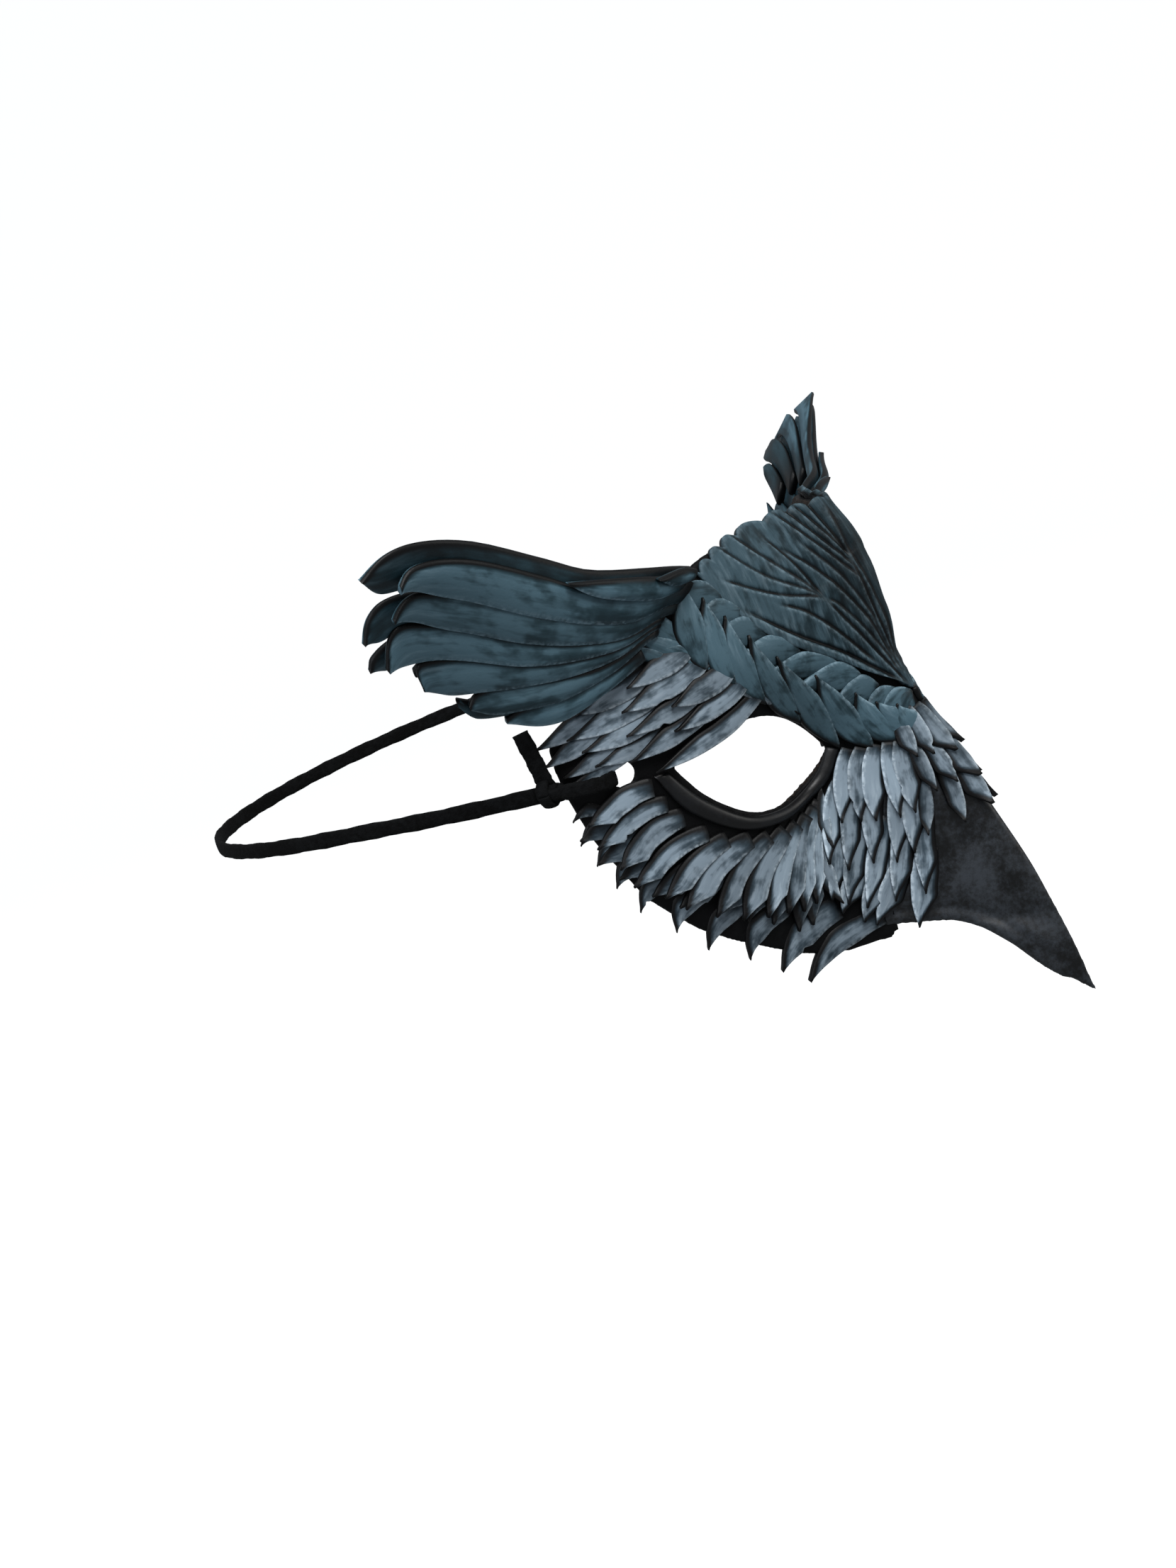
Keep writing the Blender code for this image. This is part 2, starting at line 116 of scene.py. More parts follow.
faceGrid = np.array([faceSections[h] for h in sorted(faceSections)], float)
mirrorColumn = faceGrid[:, 1:2] * (-1, 1)
faceGrid = np.concatenate([mirrorColumn, faceGrid, 2 * faceGrid[:, -1:] - faceGrid[:, -2:-1]], 1)
faceGrid = padded(faceGrid, 0)
wingGrid = padded(np.array(wingEdges, float), 1)
pressed = np.array(wingEdges, float)
for line, (drop, back) in zip(pressed, leftPress):
    tipward = np.linspace(0, 1, len(line))
    line[:, 1] += back * tipward ** 1.5
    line[:, 2] -= drop * tipward ** 1.3
leftWingGrid = padded(pressed, 1)


def faceSurface(places):  # places hold (column, height); column 0 is the ridge line
    side = np.where(places[..., 0] < 0, -1.0, 1.0)
    column = np.abs(places[..., 0])
    j = np.clip(column.astype(int), 0, 6)
    u = (column - j)[..., None]
    rise = (places[..., 1] + 45) / 15
    i = np.clip(np.floor(rise).astype(int), 0, 8)
    t = (rise - i)[..., None]
    rows = [splineMix(*(faceGrid[i + k, j + n] for n in range(4)), u) for k in range(4)]
    flat = splineMix(*rows, t)
    return np.stack([side * flat[..., 0], -flat[..., 1], places[..., 1]], -1)


def leftWingSurface(places):
    return wingSurface(places, leftWingGrid)


def wingSurface(places, grid=wingGrid):  # (along, across): 0 to 1, root to tip, top to foot
    along = places[..., 0] * 6
    i = np.clip(np.floor(along).astype(int), 0, 5)
    u = (along - i)[..., None]
    top, middle, foot = (splineMix(*(grid[k, i + n] for n in range(4)), u) for k in range(3))
    t = places[..., 1][..., None]
    return top * 2 * (t - 0.5) * (t - 1) + middle * 4 * t * (1 - t) + foot * 2 * t * (t - 0.5)


surfaces = {  # what turns places into points, its steps for slopes, and which way is out
    "face": (faceSurface, (0.02, 0.4), 1),
    "wing": (wingSurface, (0.004, 0.01), -1),
    "leftWing": (leftWingSurface, (0.004, 0.01), -1),
}


def slopes(surface, places):
    points, (da, db), _ = surfaces[surface]
    alongA = (points(places + (da, 0)) - points(places - (da, 0))) / (2 * da)
    alongB = (points(places + (0, db)) - points(places - (0, db))) / (2 * db)
    return alongA, alongB


def unit(vectors):
    return vectors / np.maximum(np.linalg.norm(vectors, axis=-1, keepdims=True), 1e-9)


def outward(surface, places):
    a, b = slopes(surface, places)
    return unit(np.cross(a, b)) * surfaces[surface][2]


def raisedPoints(surface, places, heights):
    points = surfaces[surface][0]
    return points(places) + outward(surface, places) * np.asarray(heights)[..., None]


def asidePerMm(surface, places, runs):  # the step across a path that comes to 1 mm
    a, b = slopes(surface, places)
    forward = unit(a * runs[..., :1] + b * runs[..., 1:])
    aside = np.cross(outward(surface, places), forward)
    aa, ab, bb = (a * a).sum(-1), (a * b).sum(-1), (b * b).sum(-1)
    pa, pb = (a * aside).sum(-1), (b * aside).sum(-1)
    det = aa * bb - ab * ab
    return np.stack([(bb * pa - ab * pb) / det, (aa * pb - ab * pa) / det], -1)


def smoothLine(points, where):  # places on a smooth line through points, where runs 0 to 1
    line = padded(np.array(points, float), 0)
    along = np.clip(np.asarray(where, float), 0, 1) * (len(points) - 1)
    i = np.clip(np.floor(along).astype(int), 0, len(points) - 2)
    t = (along - i)[..., None]
    return splineMix(line[i], line[i + 1], line[i + 2], line[i + 3], t)


# meshes with paint attributes
paintNames = ("paint", "rim", "reach", "tone")


def newBundle():
    return {"points": [], "faces": [], "grain": [], **{k: [] for k in paintNames}}


def addRings(bundle, points, values, grain):  # closed solid through rings of points
    start = sum(len(p) for p in bundle["points"])
    n, m = points.shape[:2]
    bundle["points"].append(points.reshape(-1, 3))
    bundle["grain"].append(grain.reshape(-1, 3))
    for key in paintNames:
        bundle[key].append(np.broadcast_to(values[key], (n, m)).reshape(-1))
    for i in range(n - 1):
        for j in range(m):
            k = (j + 1) % m
            bundle["faces"].append((start + i * m + j, start + i * m + k,
                                    start + (i + 1) * m + k, start + (i + 1) * m + j))
    bundle["faces"].append(tuple(start + j for j in reversed(range(m))))
    bundle["faces"].append(tuple(start + (n - 1) * m + j for j in range(m)))


def bundleObject(name, bundle, side, material):
    points = np.concatenate(bundle["points"]) * (side, 1, 1) * mm
    mesh = bpy.data.meshes.new(name)
    mesh.from_pydata(points.tolist(), [], bundle["faces"])
    for key in paintNames:
        layer = mesh.attributes.new(key, "FLOAT", "POINT")
        layer.data.foreach_set("value", np.concatenate(bundle[key]).astype(np.float32))
    layer = mesh.attributes.new("grain", "FLOAT_VECTOR", "POINT")
    layer.data.foreach_set("vector", np.concatenate(bundle["grain"]).astype(np.float32).ravel())
    shape = bmesh.new()
    shape.from_mesh(mesh)
    bmesh.ops.recalc_face_normals(shape, faces=shape.faces)
    shape.to_mesh(mesh)
    shape.free()
    mesh.shade_smooth()
    mesh.materials.append(material)
    piece = bpy.data.objects.new(name, mesh)
    bpy.context.scene.collection.objects.link(piece)
    return piece


# one leather feather
feather = {  # what every feather starts from, in mm
    "half": 4.0,  # half width where it is widest
    "rootWidth": 0.6,
    "widest": 0.55,
    "taper": 0.68,  # where the tip's slanted cut starts
    "sharp": 1.15,  # 1 is a straight cut, 2 a round one
    "skew": 0.9,  # 1 puts the point on one edge, 0 in the middle
    "bend": 1.0,
    "camber": 0.35,
    "over": -1,  # the edge that lies over its neighbour
    "tilt": 0.13,
    "lift": (0.6, 2.0),
    "curl": 0.6,
    "thick": 1.2,
    "jitter": 0.10,
    "steps": 20,
    "notch": 0.2,  # how many get a nick near the tip
    "cover": 1.0,  # how much of the paint it gets
    "gap": 1.2,  # black strip along the lower edge: bare leather and painted shadow of the neighbour over it
    "back": 0.0,  # how much paint its underside gets
    "tones": (0.0, 1.0),  # darkest and lightest, picked for each feather
    "strokes": 1.0,  # above 1 for shorter brush strokes
}
crossPlaces = np.array([-1, -0.97, -0.88, -0.66, -0.34, 0, 0.34, 0.66, 0.88, 0.97, 1, 0.9, -0.9])
crossDrop = np.array([0.5, 0.14, 0, 0, 0, 0, 0, 0, 0, 0.14, 0.5, 1, 1])
onTop = crossDrop < 0.3


def addBlade(bundle, surface, places, half, s, look, rng):
    v = crossPlaces
    widest = half.max()
    low, high = look["lift"]
    height = low + (high - low) * s ** 1.3 + look["curl"] * np.clip((s - 0.75) / 0.25, 0, 1) ** 2
    over = look["over"]
    height = height[:, None] + look["tilt"] * half[:, None] * v * over
    arch = look["camber"] * (half / widest)[:, None] ** 0.7 * (1 - v ** 2)
    lumps = 0.08 * np.sin(s[:, None] * rng.uniform(5, 11) + v * rng.uniform(1, 3)
                          + rng.uniform(0, 6))
    points = raisedPoints(surface, places, height + arch + lumps - crossDrop * look["thick"])
    spine = points[:, 5]
    along = np.concatenate([[0], np.cumsum(np.linalg.norm(np.diff(spine, axis=0), axis=1))])
    fromLow = (1 + v * over) * half[:, None]  # mm from the lower edge
    fromHigh = (1 - v * over) * half[:, None]
    # bare: black along the lower edge, bare leather and painted shadow of the neighbour lying
    # over it
    bare = np.clip((fromLow - look["gap"] * 0.55) / (look["gap"] * 0.6), 0, 1)
    # ends: no paint right at the root, bare leather and painted shade under the feathers above
    ends = np.clip(s * 6 + 0.1, 0, 1)[:, None]
    tipEdge = np.clip((s - 0.955) / 0.03, 0, 1)[:, None]
    shown = np.where(onTop, 1.0, 0.3) * bare * look["cover"]
    values = {
        "paint": np.where(crossDrop > 0.95, look["back"], shown) * ends,
        # rim: lighter along the lifted edge and at the tip, dry brush wear and a painted
        # highlight
        "rim": np.maximum(np.exp(-((fromHigh - 0.1) / 0.55) ** 2), tipEdge) * onTop * bare,
        "reach": s[:, None] + 0 * v,
        "tone": np.full(places.shape[:2], rng.uniform(*look["tones"])),
    }
    grain = np.stack([(along[:, None] + 0 * v) * look["strokes"],
                      half[:, None] * v * look["strokes"],
                      np.full(places.shape[:2], rng.uniform(0, 900))], -1)
    addRings(bundle, points, values, grain)


def addFeather(bundle, surface, root, tip, look, rng, **changes):
    look = {**feather, **look, **changes}
    wobble = look["jitter"]
    s = np.linspace(0, 1, look["steps"])
    root, tip = np.array(root, float), np.array(tip, float)
    middle = (root + tip) / 2
    perMm = asidePerMm(surface, middle[None], (tip - root)[None])[0]
    middle = middle + perMm * look["bend"] * (1 + wobble * rng.uniform(-2, 2))
    hinge = 2 * middle - (root + tip) / 2
    path = (((1 - s) ** 2)[:, None] * root + (2 * s * (1 - s))[:, None] * hinge
            + (s ** 2)[:, None] * tip)
    runs = (2 * (1 - s))[:, None] * (hinge - root) + (2 * s)[:, None] * (tip - hinge)
    grow = look["rootWidth"] + (1 - look["rootWidth"]) * np.sin(
        np.clip(s / look["widest"], 0, 1) * math.pi / 2)
    close = np.clip((s - look["taper"]) / (1 - look["taper"]), 0, 1) ** look["sharp"]
    half = look["half"] * (1 + wobble * rng.uniform(-1, 1)) * grow * (1 - close)
    half = half * (1 + 0.03 * np.sin(s * rng.uniform(9, 15) + rng.uniform(0, 6)))
    half = np.maximum(half, 0.22)
    lean = look["skew"] * look["half"] * close
    offset = half[:, None] * crossPlaces + lean[:, None]
    if rng.uniform(0, 1) < look["notch"]:  # a nick cut into one edge
        nick = np.exp(-((s - rng.uniform(0.55, 0.85)) / 0.03) ** 2)
        edge = np.clip((crossPlaces * look["over"] - 0.55) / 0.45, 0, 1)
        offset = offset * (1 - 0.35 * nick[:, None] * edge)
    across = asidePerMm(surface, path, runs)
    addBlade(bundle, surface, path[:, None] + across[:, None] * offset[..., None], half, s,
             look, rng)


def addLeaf(bundle, surface, upper, lower, look, rng, **changes):  # blade between two edges
    look = {**feather, **look, **changes}
    s = np.linspace(0, 1, look["steps"])
    along = 1 - (1 - s) ** 1.25  # closer steps near the tip
    high, low = smoothLine(upper, along), smoothLine(lower, along)
    across = (high - low) / 2
    ends = surfaces[surface][0](np.stack([high, low]))
    half = np.maximum(np.linalg.norm(ends[0] - ends[1], axis=-1) / 2, 0.15)
    places = ((high + low) / 2)[:, None] + across[:, None] * crossPlaces[:, None]
    addBlade(bundle, surface, places, half, along, look, rng)


def addRow(bundle, surface, roots, tips, count, look, rng, **changes):
    for k in range(count):
        t = (k + 0.5) / count
        spread = 0.18 / count
        root = smoothLine(roots, t + rng.uniform(-1, 1) * spread * 0.6)
        tip = smoothLine(tips, t + rng.uniform(-1, 1) * spread)
        tip = root + (tip - root) * rng.uniform(0.95, 1.04)
        addFeather(bundle, surface, root, tip, look, rng, **changes)


# carved leather sheet
def carvedSheet(bundle, places, grooves, look, rng, heart):
    # grooves are (line, depth, width) in places; heart is where the brush strokes start
    n, m = places.shape[:2]
    bare = faceSurface(places)
    out = outward("face", places)
    flat = bare.reshape(-1, 3)
    normals = out.reshape(-1, 3)
    height = np.zeros(len(flat))
    paint = np.ones(len(flat))
    rim = np.zeros(len(flat))
    for line, depth, width in grooves:
        path = faceSurface(smoothLine(line, np.linspace(0, 1, 14)))
        start, run = path[:-1], np.diff(path, axis=0)
        away = flat[:, None] - start
        t = np.clip((away * run).sum(-1) / (run * run).sum(-1), 0, 1)
        off = away - t[..., None] * run
        distance = np.linalg.norm(off, axis=-1)
        nearest = distance.argmin(1)
        pick = np.arange(len(flat))
        d = distance[pick, nearest]
        where = (nearest + t[pick, nearest]) / len(run)
        fade = np.clip(np.minimum(where * 8, (1 - where) * 8), 0.15, 1)
        handed = (np.cross(run[nearest], away[pick, nearest]) * normals).sum(-1)
        over = np.where(handed > 0, 1.0, -1.0)
        height += -depth * fade * np.exp(-(d / width) ** 2)
        height += depth * 0.45 * over * fade * (d / width) * np.exp(-d / (width * 3))
        paint = np.minimum(paint, 1 - fade * (1 - np.clip((d - width * 0.35) / (width * 0.8),
                                                          0, 1)) * min(1, depth * 1.7))
        # rim: a light line on the raised side of each groove, wear and a painted highlight
        rim = np.maximum(rim, (over > 0) * fade * np.exp(-((d - width * 1.25) / 0.45) ** 2))
    middle, size = look["darkMiddle"], look["darkSize"]
    offMiddle = np.linalg.norm((places.reshape(-1, 2) - middle) / size, axis=1)
    paint *= look["cover"] + (1 - look["cover"]) * np.clip(offMiddle - 0.5, 0, 1)
    height = height.reshape(n, m) + look["lift"] + 0.12 * np.sin(
        places[..., 0] * 5 + places[..., 1] * 0.21) + 0.1 * np.sin(places[..., 1] * 0.5)
    edge = np.minimum(np.arange(m), np.arange(m)[::-1])
    brink = np.minimum(np.arange(n), np.arange(n)[::-1])
    # the sheet's edges are lowered by wear and made lighter, partly a painted highlight
    wornAndHighlit = np.clip(1 - np.minimum(edge[None], brink[:, None]) / 3, 0, 1)
    height = height - 0.35 * wornAndHighlit ** 2
    top = bare + out * height[..., None]
    under = bare + out * (height - look["thick"])[..., None]
    fromHeart = np.linalg.norm(bare - faceSurface(np.array([heart], float)), axis=-1)
    fanned = places[..., 0] * 14  # about 14 mm to a column
    rings = np.concatenate([top, under[:, ::-1]], 1)
    values = {
        "paint": np.concatenate([paint.reshape(n, m), np.zeros((n, m))], 1),
        "rim": np.concatenate([np.maximum(rim.reshape(n, m), wornAndHighlit * 0.6), np.zeros((n, m))], 1),
        "reach": np.ones((n, 2 * m)),
        "tone": np.full((n, 2 * m), look["tone"]),
    }
    grain = np.stack([fromHeart, fanned, 0 * fanned + rng.uniform(0, 900)], -1)
    addRings(bundle, rings, values, np.concatenate([grain, grain[:, ::-1]], 1))


# materials
def linear(code):  # an sRGB hex colour as linear red, green, blue and alpha
    parts = [int(code[i:i + 2], 16) / 255 for i in (1, 3, 5)]
    return (*(p / 12.92 if p <= 0.04045 else ((p + 0.055) / 1.055) ** 2.4 for p in parts), 1)


def node(tree, kind, settings):  # a setting that is a node or a socket is linked
    made = tree.nodes.new(kind)
    for key, value in settings.items():
        if isinstance(value, bpy.types.Node):
            value = value.outputs[0]
        if not isinstance(key, int) and key not in made.inputs:
            setattr(made, key, value)
        elif isinstance(value, bpy.types.NodeSocket):
            tree.links.new(value, made.inputs[key])
        else:
            made.inputs[key].default_value = value
    return made


def blank(name):
    material = bpy.data.materials.new(name)
    material.use_nodes = True
    tree = material.node_tree
    tree.nodes.clear()
    return material, tree


brushed = {
    "slateBrushedLeather": {  # dark teal slate of forehead, brows and wings
        "base": "#020304", "deep": "#172A31", "paint": "#405863", "light": "#8299A5",
        "edgeLight": 0.62, "rough": 0.55,
    },
    "paleBrushedLeather": {  # blue lavender grey of cheeks, temples and nose sides
        "base": "#020203", "deep": "#2B3841", "paint": "#717F8A", "light": "#BDCAD3",
        "edgeLight": 0.75, "rough": 0.58,
    },
}


smooth = {"interpolation_type": "SMOOTHSTEP"}
under, over, mixed = 6, 7, 2  # colour sockets of a mix node: two in, one out


def brushedLeather(name, look):
    # vegetable tanned leather, dyed black and dry brushed along each feather: streaks of paint
    # over black grooves, lighter with wear on raised edges and a painted highlight there, and
    # painted shade at the roots and along edges that lie under a neighbour
    material, tree = blank(name)
    paint, rim, reach, tone = (
        node(tree, "ShaderNodeAttribute", {"attribute_name": key}).outputs["Fac"]
        for key in paintNames)
    grain = node(tree, "ShaderNodeAttribute", {"attribute_name": "grain"}).outputs["Vector"]
    # brush strokes about 1.4 mm wide and 9 mm long
    hairs = node(tree, "ShaderNodeMapping", {"Scale": (0.11, 0.7, 1.0), "Vector": grain})
    streak = node(tree, "ShaderNodeTexNoise", {
        "Scale": 1.0, "Detail": 5.0, "Roughness": 0.58, "Vector": hairs})
    # clouds of thicker paint some 6 mm across
    cloudMap = node(tree, "ShaderNodeMapping", {"Scale": (0.16, 0.22, 1.0), "Vector": grain})
    cloud = node(tree, "ShaderNodeTexNoise", {
        "Scale": 1.0, "Detail": 3.0, "Roughness": 0.55, "Vector": cloudMap})
    space = node(tree, "ShaderNodeTexCoord", {}).outputs["Object"]
    # hide grain, pebbles of 0.7 mm
    pebble = node(tree, "ShaderNodeTexVoronoi", {
        "Scale": 1 / 0.0007, "Randomness": 1.0, "Vector": space})
    speck = node(tree, "ShaderNodeTexNoise", {
        "Scale": 1 / 0.0011, "Detail": 4.0, "Vector": space})

    # the map on reach darkens paint towards each root: painted shade where feathers tuck under
    # others
    inStreak, inCloud, paintedRootShade, drySpot, nearTip, rubbed = (
        node(tree, "ShaderNodeMapRange", {
            **smooth, "Value": source, "From Min": low, "From Max": high, "To Min": least})
        for source, low, high, least in (
            (streak, 0.32, 0.60, 0.62), (cloud, 0.30, 0.62, 0.45), (reach, 0.0, 0.4, 0.6),
            (streak, 0.50, 0.75, 0.0), (reach, 0.3, 1.0, 0.0), (speck, 0.40, 0.62, 0.2)))
    parts = []
    for first, *factors in ((inStreak, inCloud, paintedRootShade, paint), (drySpot, nearTip, paint, 0.4),
                            (rim, paint, rubbed, look["edgeLight"])):
        for factor in factors:
            first = node(tree, "ShaderNodeMath", {
                "operation": "MULTIPLY", "use_clamp": True, 0: first, 1: factor})
        parts.append(first)
    # the third product lightens raised edges: wear of the paint and a painted highlight
    cover, dust, wornAndHighlit = parts
    thin, full = (
        node(tree, "ShaderNodeMapRange", {
            **smooth, "Value": cover, "From Min": low, "From Max": high})
        for low, high in ((0.0, 0.35), (0.25, 0.80)))
    body = linear(look["base"])
    for where, colour in ((thin, "deep"), (full, "paint"), (dust, "light"), (wornAndHighlit, "light")):
        body = node(tree, "ShaderNodeMix", {
            "data_type": "RGBA", "Factor": where, under: body,
            over: linear(look[colour])}).outputs[mixed]
    shade = node(tree, "ShaderNodeMath", {"operation": "MULTIPLY_ADD", 0: tone, 1: 0.37,
                                          2: 0.78})
    grey = node(tree, "ShaderNodeCombineColor", {"Red": shade, "Green": shade, "Blue": shade})
    body = node(tree, "ShaderNodeMix", {
        "data_type": "RGBA", "blend_type": "MULTIPLY", "Factor": 1.0, under: body,
        over: grey}).outputs[mixed]

    hairRelief = node(tree, "ShaderNodeMath", {"operation": "MULTIPLY", 0: streak, 1: 0.9})
    relief = node(tree, "ShaderNodeMath", {"operation": "MULTIPLY_ADD", 0: pebble, 1: 0.5,
                                           2: hairRelief})
    bump = node(tree, "ShaderNodeBump", {"Strength": 0.22, "Distance": 0.0002,
                                         "Height": relief})
    rough = node(tree, "ShaderNodeMapRange", {  # paint lies duller than the bare dye
        **smooth, "Value": cover, "From Max": 0.9, "To Min": look["rough"] - 0.08,
        "To Max": look["rough"] + 0.12})
    shader = node(tree, "ShaderNodeBsdfPrincipled", {
        "Specular IOR Level": 0.22, "Base Color": body, "Roughness": rough, "Normal": bump})
    node(tree, "ShaderNodeOutputMaterial", {"Surface": shader})
    return material


plain = {
    "polishedBlackLeather": {  # beak, rubbed smooth: lighter patches of wax haze that are also a painted sheen, few pores
        "dark": "#020304", "light": "#2A2F35", "rough": (0.28, 0.6), "grain": 0.0009,
        "bump": 0.08, "specular": 0.34, "coat": 0.1, "patch": 0.011,
    },
    "waxedBlackLeather": {  # eye rims, burnished with wax: darker, a thin line of shine
        "dark": "#020203", "light": "#0B0D10", "rough": (0.36, 0.5), "grain": 0.0009,
        "bump": 0.08, "specular": 0.3, "coat": 0.1, "patch": 0.012,
    },
    "dyedBlackLeather": {  # the base layer under the feathers, dull black
        "dark": "#020203", "light": "#070809", "rough": (0.55, 0.7), "grain": 0.0008,
        "bump": 0.2, "specular": 0.12, "coat": 0.0, "patch": 0.012,
    },
    "suedeLace": {  # split leather lace: nap, no gloss
        "dark": "#030303", "light": "#0F1011", "rough": (0.85, 0.98), "grain": 0.0005,
        "bump": 0.5, "specular": 0.1, "coat": 0.0, "patch": 0.012,
    },
}


def plainLeather(name, look, fleshSide=None):
    material, tree = blank(name)
    space = node(tree, "ShaderNodeTexCoord", {}).outputs["Object"]
    patches = node(tree, "ShaderNodeTexNoise", {
        "Scale": 1 / look["patch"], "Detail": 4.0, "Vector": space})
    fine = node(tree, "ShaderNodeTexNoise", {
        "Scale": 1 / 0.0015, "Detail": 5.0, "Roughness": 0.7, "Vector": space})
    pebble = node(tree, "ShaderNodeTexVoronoi", {"Scale": 1 / look["grain"], "Vector": space})
    cloudy, relief = (
        node(tree, "ShaderNodeMath", {"operation": "ADD", 0: first, 1: fine})
        for first in (patches, pebble))
    pale, fibres, rough = (
        node(tree, "ShaderNodeMapRange", {
            **smooth, "Value": source, "From Min": low, "From Max": high, "To Min": least,
            "To Max": most})
        for source, low, high, least, most in (
            (cloudy, 0.8, 1.3, 0.0, 1.0), (fine, 0.35, 0.65, 0.0, 1.0),
            (patches, 0.3, 0.7, *look["rough"])))
    # lighter patches: mottled dye, and on the beak also a painted sheen
    body = node(tree, "ShaderNodeMix", {
        "data_type": "RGBA", "Factor": pale, under: linear(look["dark"]),
        over: linear(look["light"])}).outputs[mixed]
    if fleshSide:  # brown fibres on the inside of the hide
        inside = node(tree, "ShaderNodeAttribute", {"attribute_name": "inside"})
        flesh = node(tree, "ShaderNodeMix", {
            "data_type": "RGBA", "Factor": fibres, under: linear(fleshSide[0]),
            over: linear(fleshSide[1])}).outputs[mixed]
        body = node(tree, "ShaderNodeMix", {
            "data_type": "RGBA", "Factor": inside.outputs["Fac"], under: body,
            over: flesh}).outputs[mixed]
    bump = node(tree, "ShaderNodeBump", {
        "Strength": look["bump"], "Distance": 0.00025, "Height": relief})
    shader = node(tree, "ShaderNodeBsdfPrincipled", {
        "Specular IOR Level": look["specular"], "Coat Weight": look["coat"],
        "Coat Roughness": 0.38, "Base Color": body, "Roughness": rough, "Normal": bump})
    node(tree, "ShaderNodeOutputMaterial", {"Surface": shader})
    return material


slateLeather = brushedLeather("slateBrushedLeather", brushed["slateBrushedLeather"])
paleLeather = brushedLeather("paleBrushedLeather", brushed["paleBrushedLeather"])
polishedLeather = plainLeather("polishedBlackLeather", plain["polishedBlackLeather"])
waxedLeather = plainLeather("waxedBlackLeather", plain["waxedBlackLeather"])
dyedLeather = plainLeather("dyedBlackLeather", plain["dyedBlackLeather"],
                           ("#0B0807", "#2A211B"))
suede = plainLeather("suedeLace", plain["suedeLace"])
print("leathers mixed")


def place(piece, body, nodeName, slotName):
    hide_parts(nodeName)
    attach(piece, body)
    return piece


# lace, knots and loops
laceSetup = {
    "width": 4.2, "thick": 1.5,
    "pivot": (0.0, -49.3, 32.0),
    "knotSide": 73.2,
    "halfWidth": 76.0, "back": 98.0,
    "bend": (6.0, 31.5),  # where the straight run ends: back from the ear line, up
    "sag": 5.5,
    "loop": ((5.72, 30.6, 4.0), (5.55, 30.2, 3.6), (5.45, 30, 3.2), (5.37, 30, 2.0),
             (5.33, 30, 0.0), (5.33, 30, -1.8), (5.38, 30, -3.7), (5.5, 29.8, -4.4),
             (5.75, 29.6, -4.0), (5.93, 29.6, -2.2)),  # column, height, off the face
    "loopEnds": ((0.6, -2.6, -0.4), (-1.8, 2.2, -2.2)),  # from the knot's middle
    "loopSize": (4.0, 1.3),
    "turns": ((0.2, 3.0, -0.4), (1.5, 2.9, 0.5), (0.9, 2.5, 0.0)),  # tilt, radius, aside
    "turnSize": (3.0, 1.6),
    "core": (2.3, 2.7, 2.5),
    "tail": ((0.3, 0.2, 2.2), (0.8, 0.4, 6), (1.0, 1.0, 10.5), (1.2, 2.0, 16.2)),
    "tailSize": (4.4, 1.3),
}


def laceRoute(setup):
    start = Vector((setup["knotSide"] + 0.2, setup["pivot"][1] + 3.4, setup["pivot"][2] - 0.2))
    back, up = setup["bend"]
    middle = Vector((setup["halfWidth"], back, up))
    half = []
    for k in range(6):
        t = k / 6
        half.append(start.lerp(middle, t) + Vector((math.sin(math.pi * t) * 1.2, 0, 0)))
    for k in range(17):
        angle = math.pi / 2 * k / 17
        half.append(Vector((setup["halfWidth"] * math.cos(angle),
                            back + (setup["back"] - back) * math.sin(angle),
                            up - setup["sag"] * math.sin(angle) ** 1.5)))
    end = Vector((0, setup["back"], up - setup["sag"]))
    return half + [end] + [Vector((-p.x, p.y, p.z)) for p in reversed(half)]


def strapRings(route, size, faces, rng):
    # flat strap along a route; faces holds the direction its flat side looks, for each point
    width, thick = size
    runs = unit(np.gradient(route, axis=0))
    flat = unit(faces - runs * (faces * runs).sum(-1, keepdims=True))
    wide = np.cross(runs, flat)
    n = len(route)
    v = np.array([-1, -0.93, -0.5, 0, 0.5, 0.93, 1, 0.93, 0.5, 0, -0.5, -0.93])
    up = np.array([0, 0.8, 1, 1.05, 1, 0.8, 0, -0.8, -1, -1.05, -1, -0.8])
    along = np.linspace(0, 1, n)[:, None]
    edge = 1 + 0.05 * np.sin(along * n * 0.9 + rng.uniform(0, 6)) + 0.03 * np.sin(along * n * 2.3)
    return (route[:, None] + wide[:, None] * (v * width / 2 * edge)[..., None]
            + flat[:, None] * (up * thick / 2 + 0 * along)[..., None])


def addPlain(bundle, rings):  # without paint
    shape = rings.shape[:2]
    addRings(bundle, rings, {"paint": np.ones(shape), "rim": np.zeros(shape),
                             "reach": np.ones(shape), "tone": np.full(shape, 0.5)}, rings * 0)


def plainObject(name, rings, side, material):
    bundle = newBundle()
    addPlain(bundle, rings)
    return bundleObject(name, bundle, side, material)


def makeLace(setup):
    route = smoothLine([tuple(p) for p in laceRoute(setup)], np.linspace(0, 1, 181))
    faces = unit(route - (0, 10, 0)) * (1, 1, 0)
    rings = strapRings(route, (setup["width"], setup["thick"]), faces, random.Random(5))
    lace = plainObject("lace_strap", rings, 1, suede)
    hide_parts("lace")
    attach(lace, "lace")


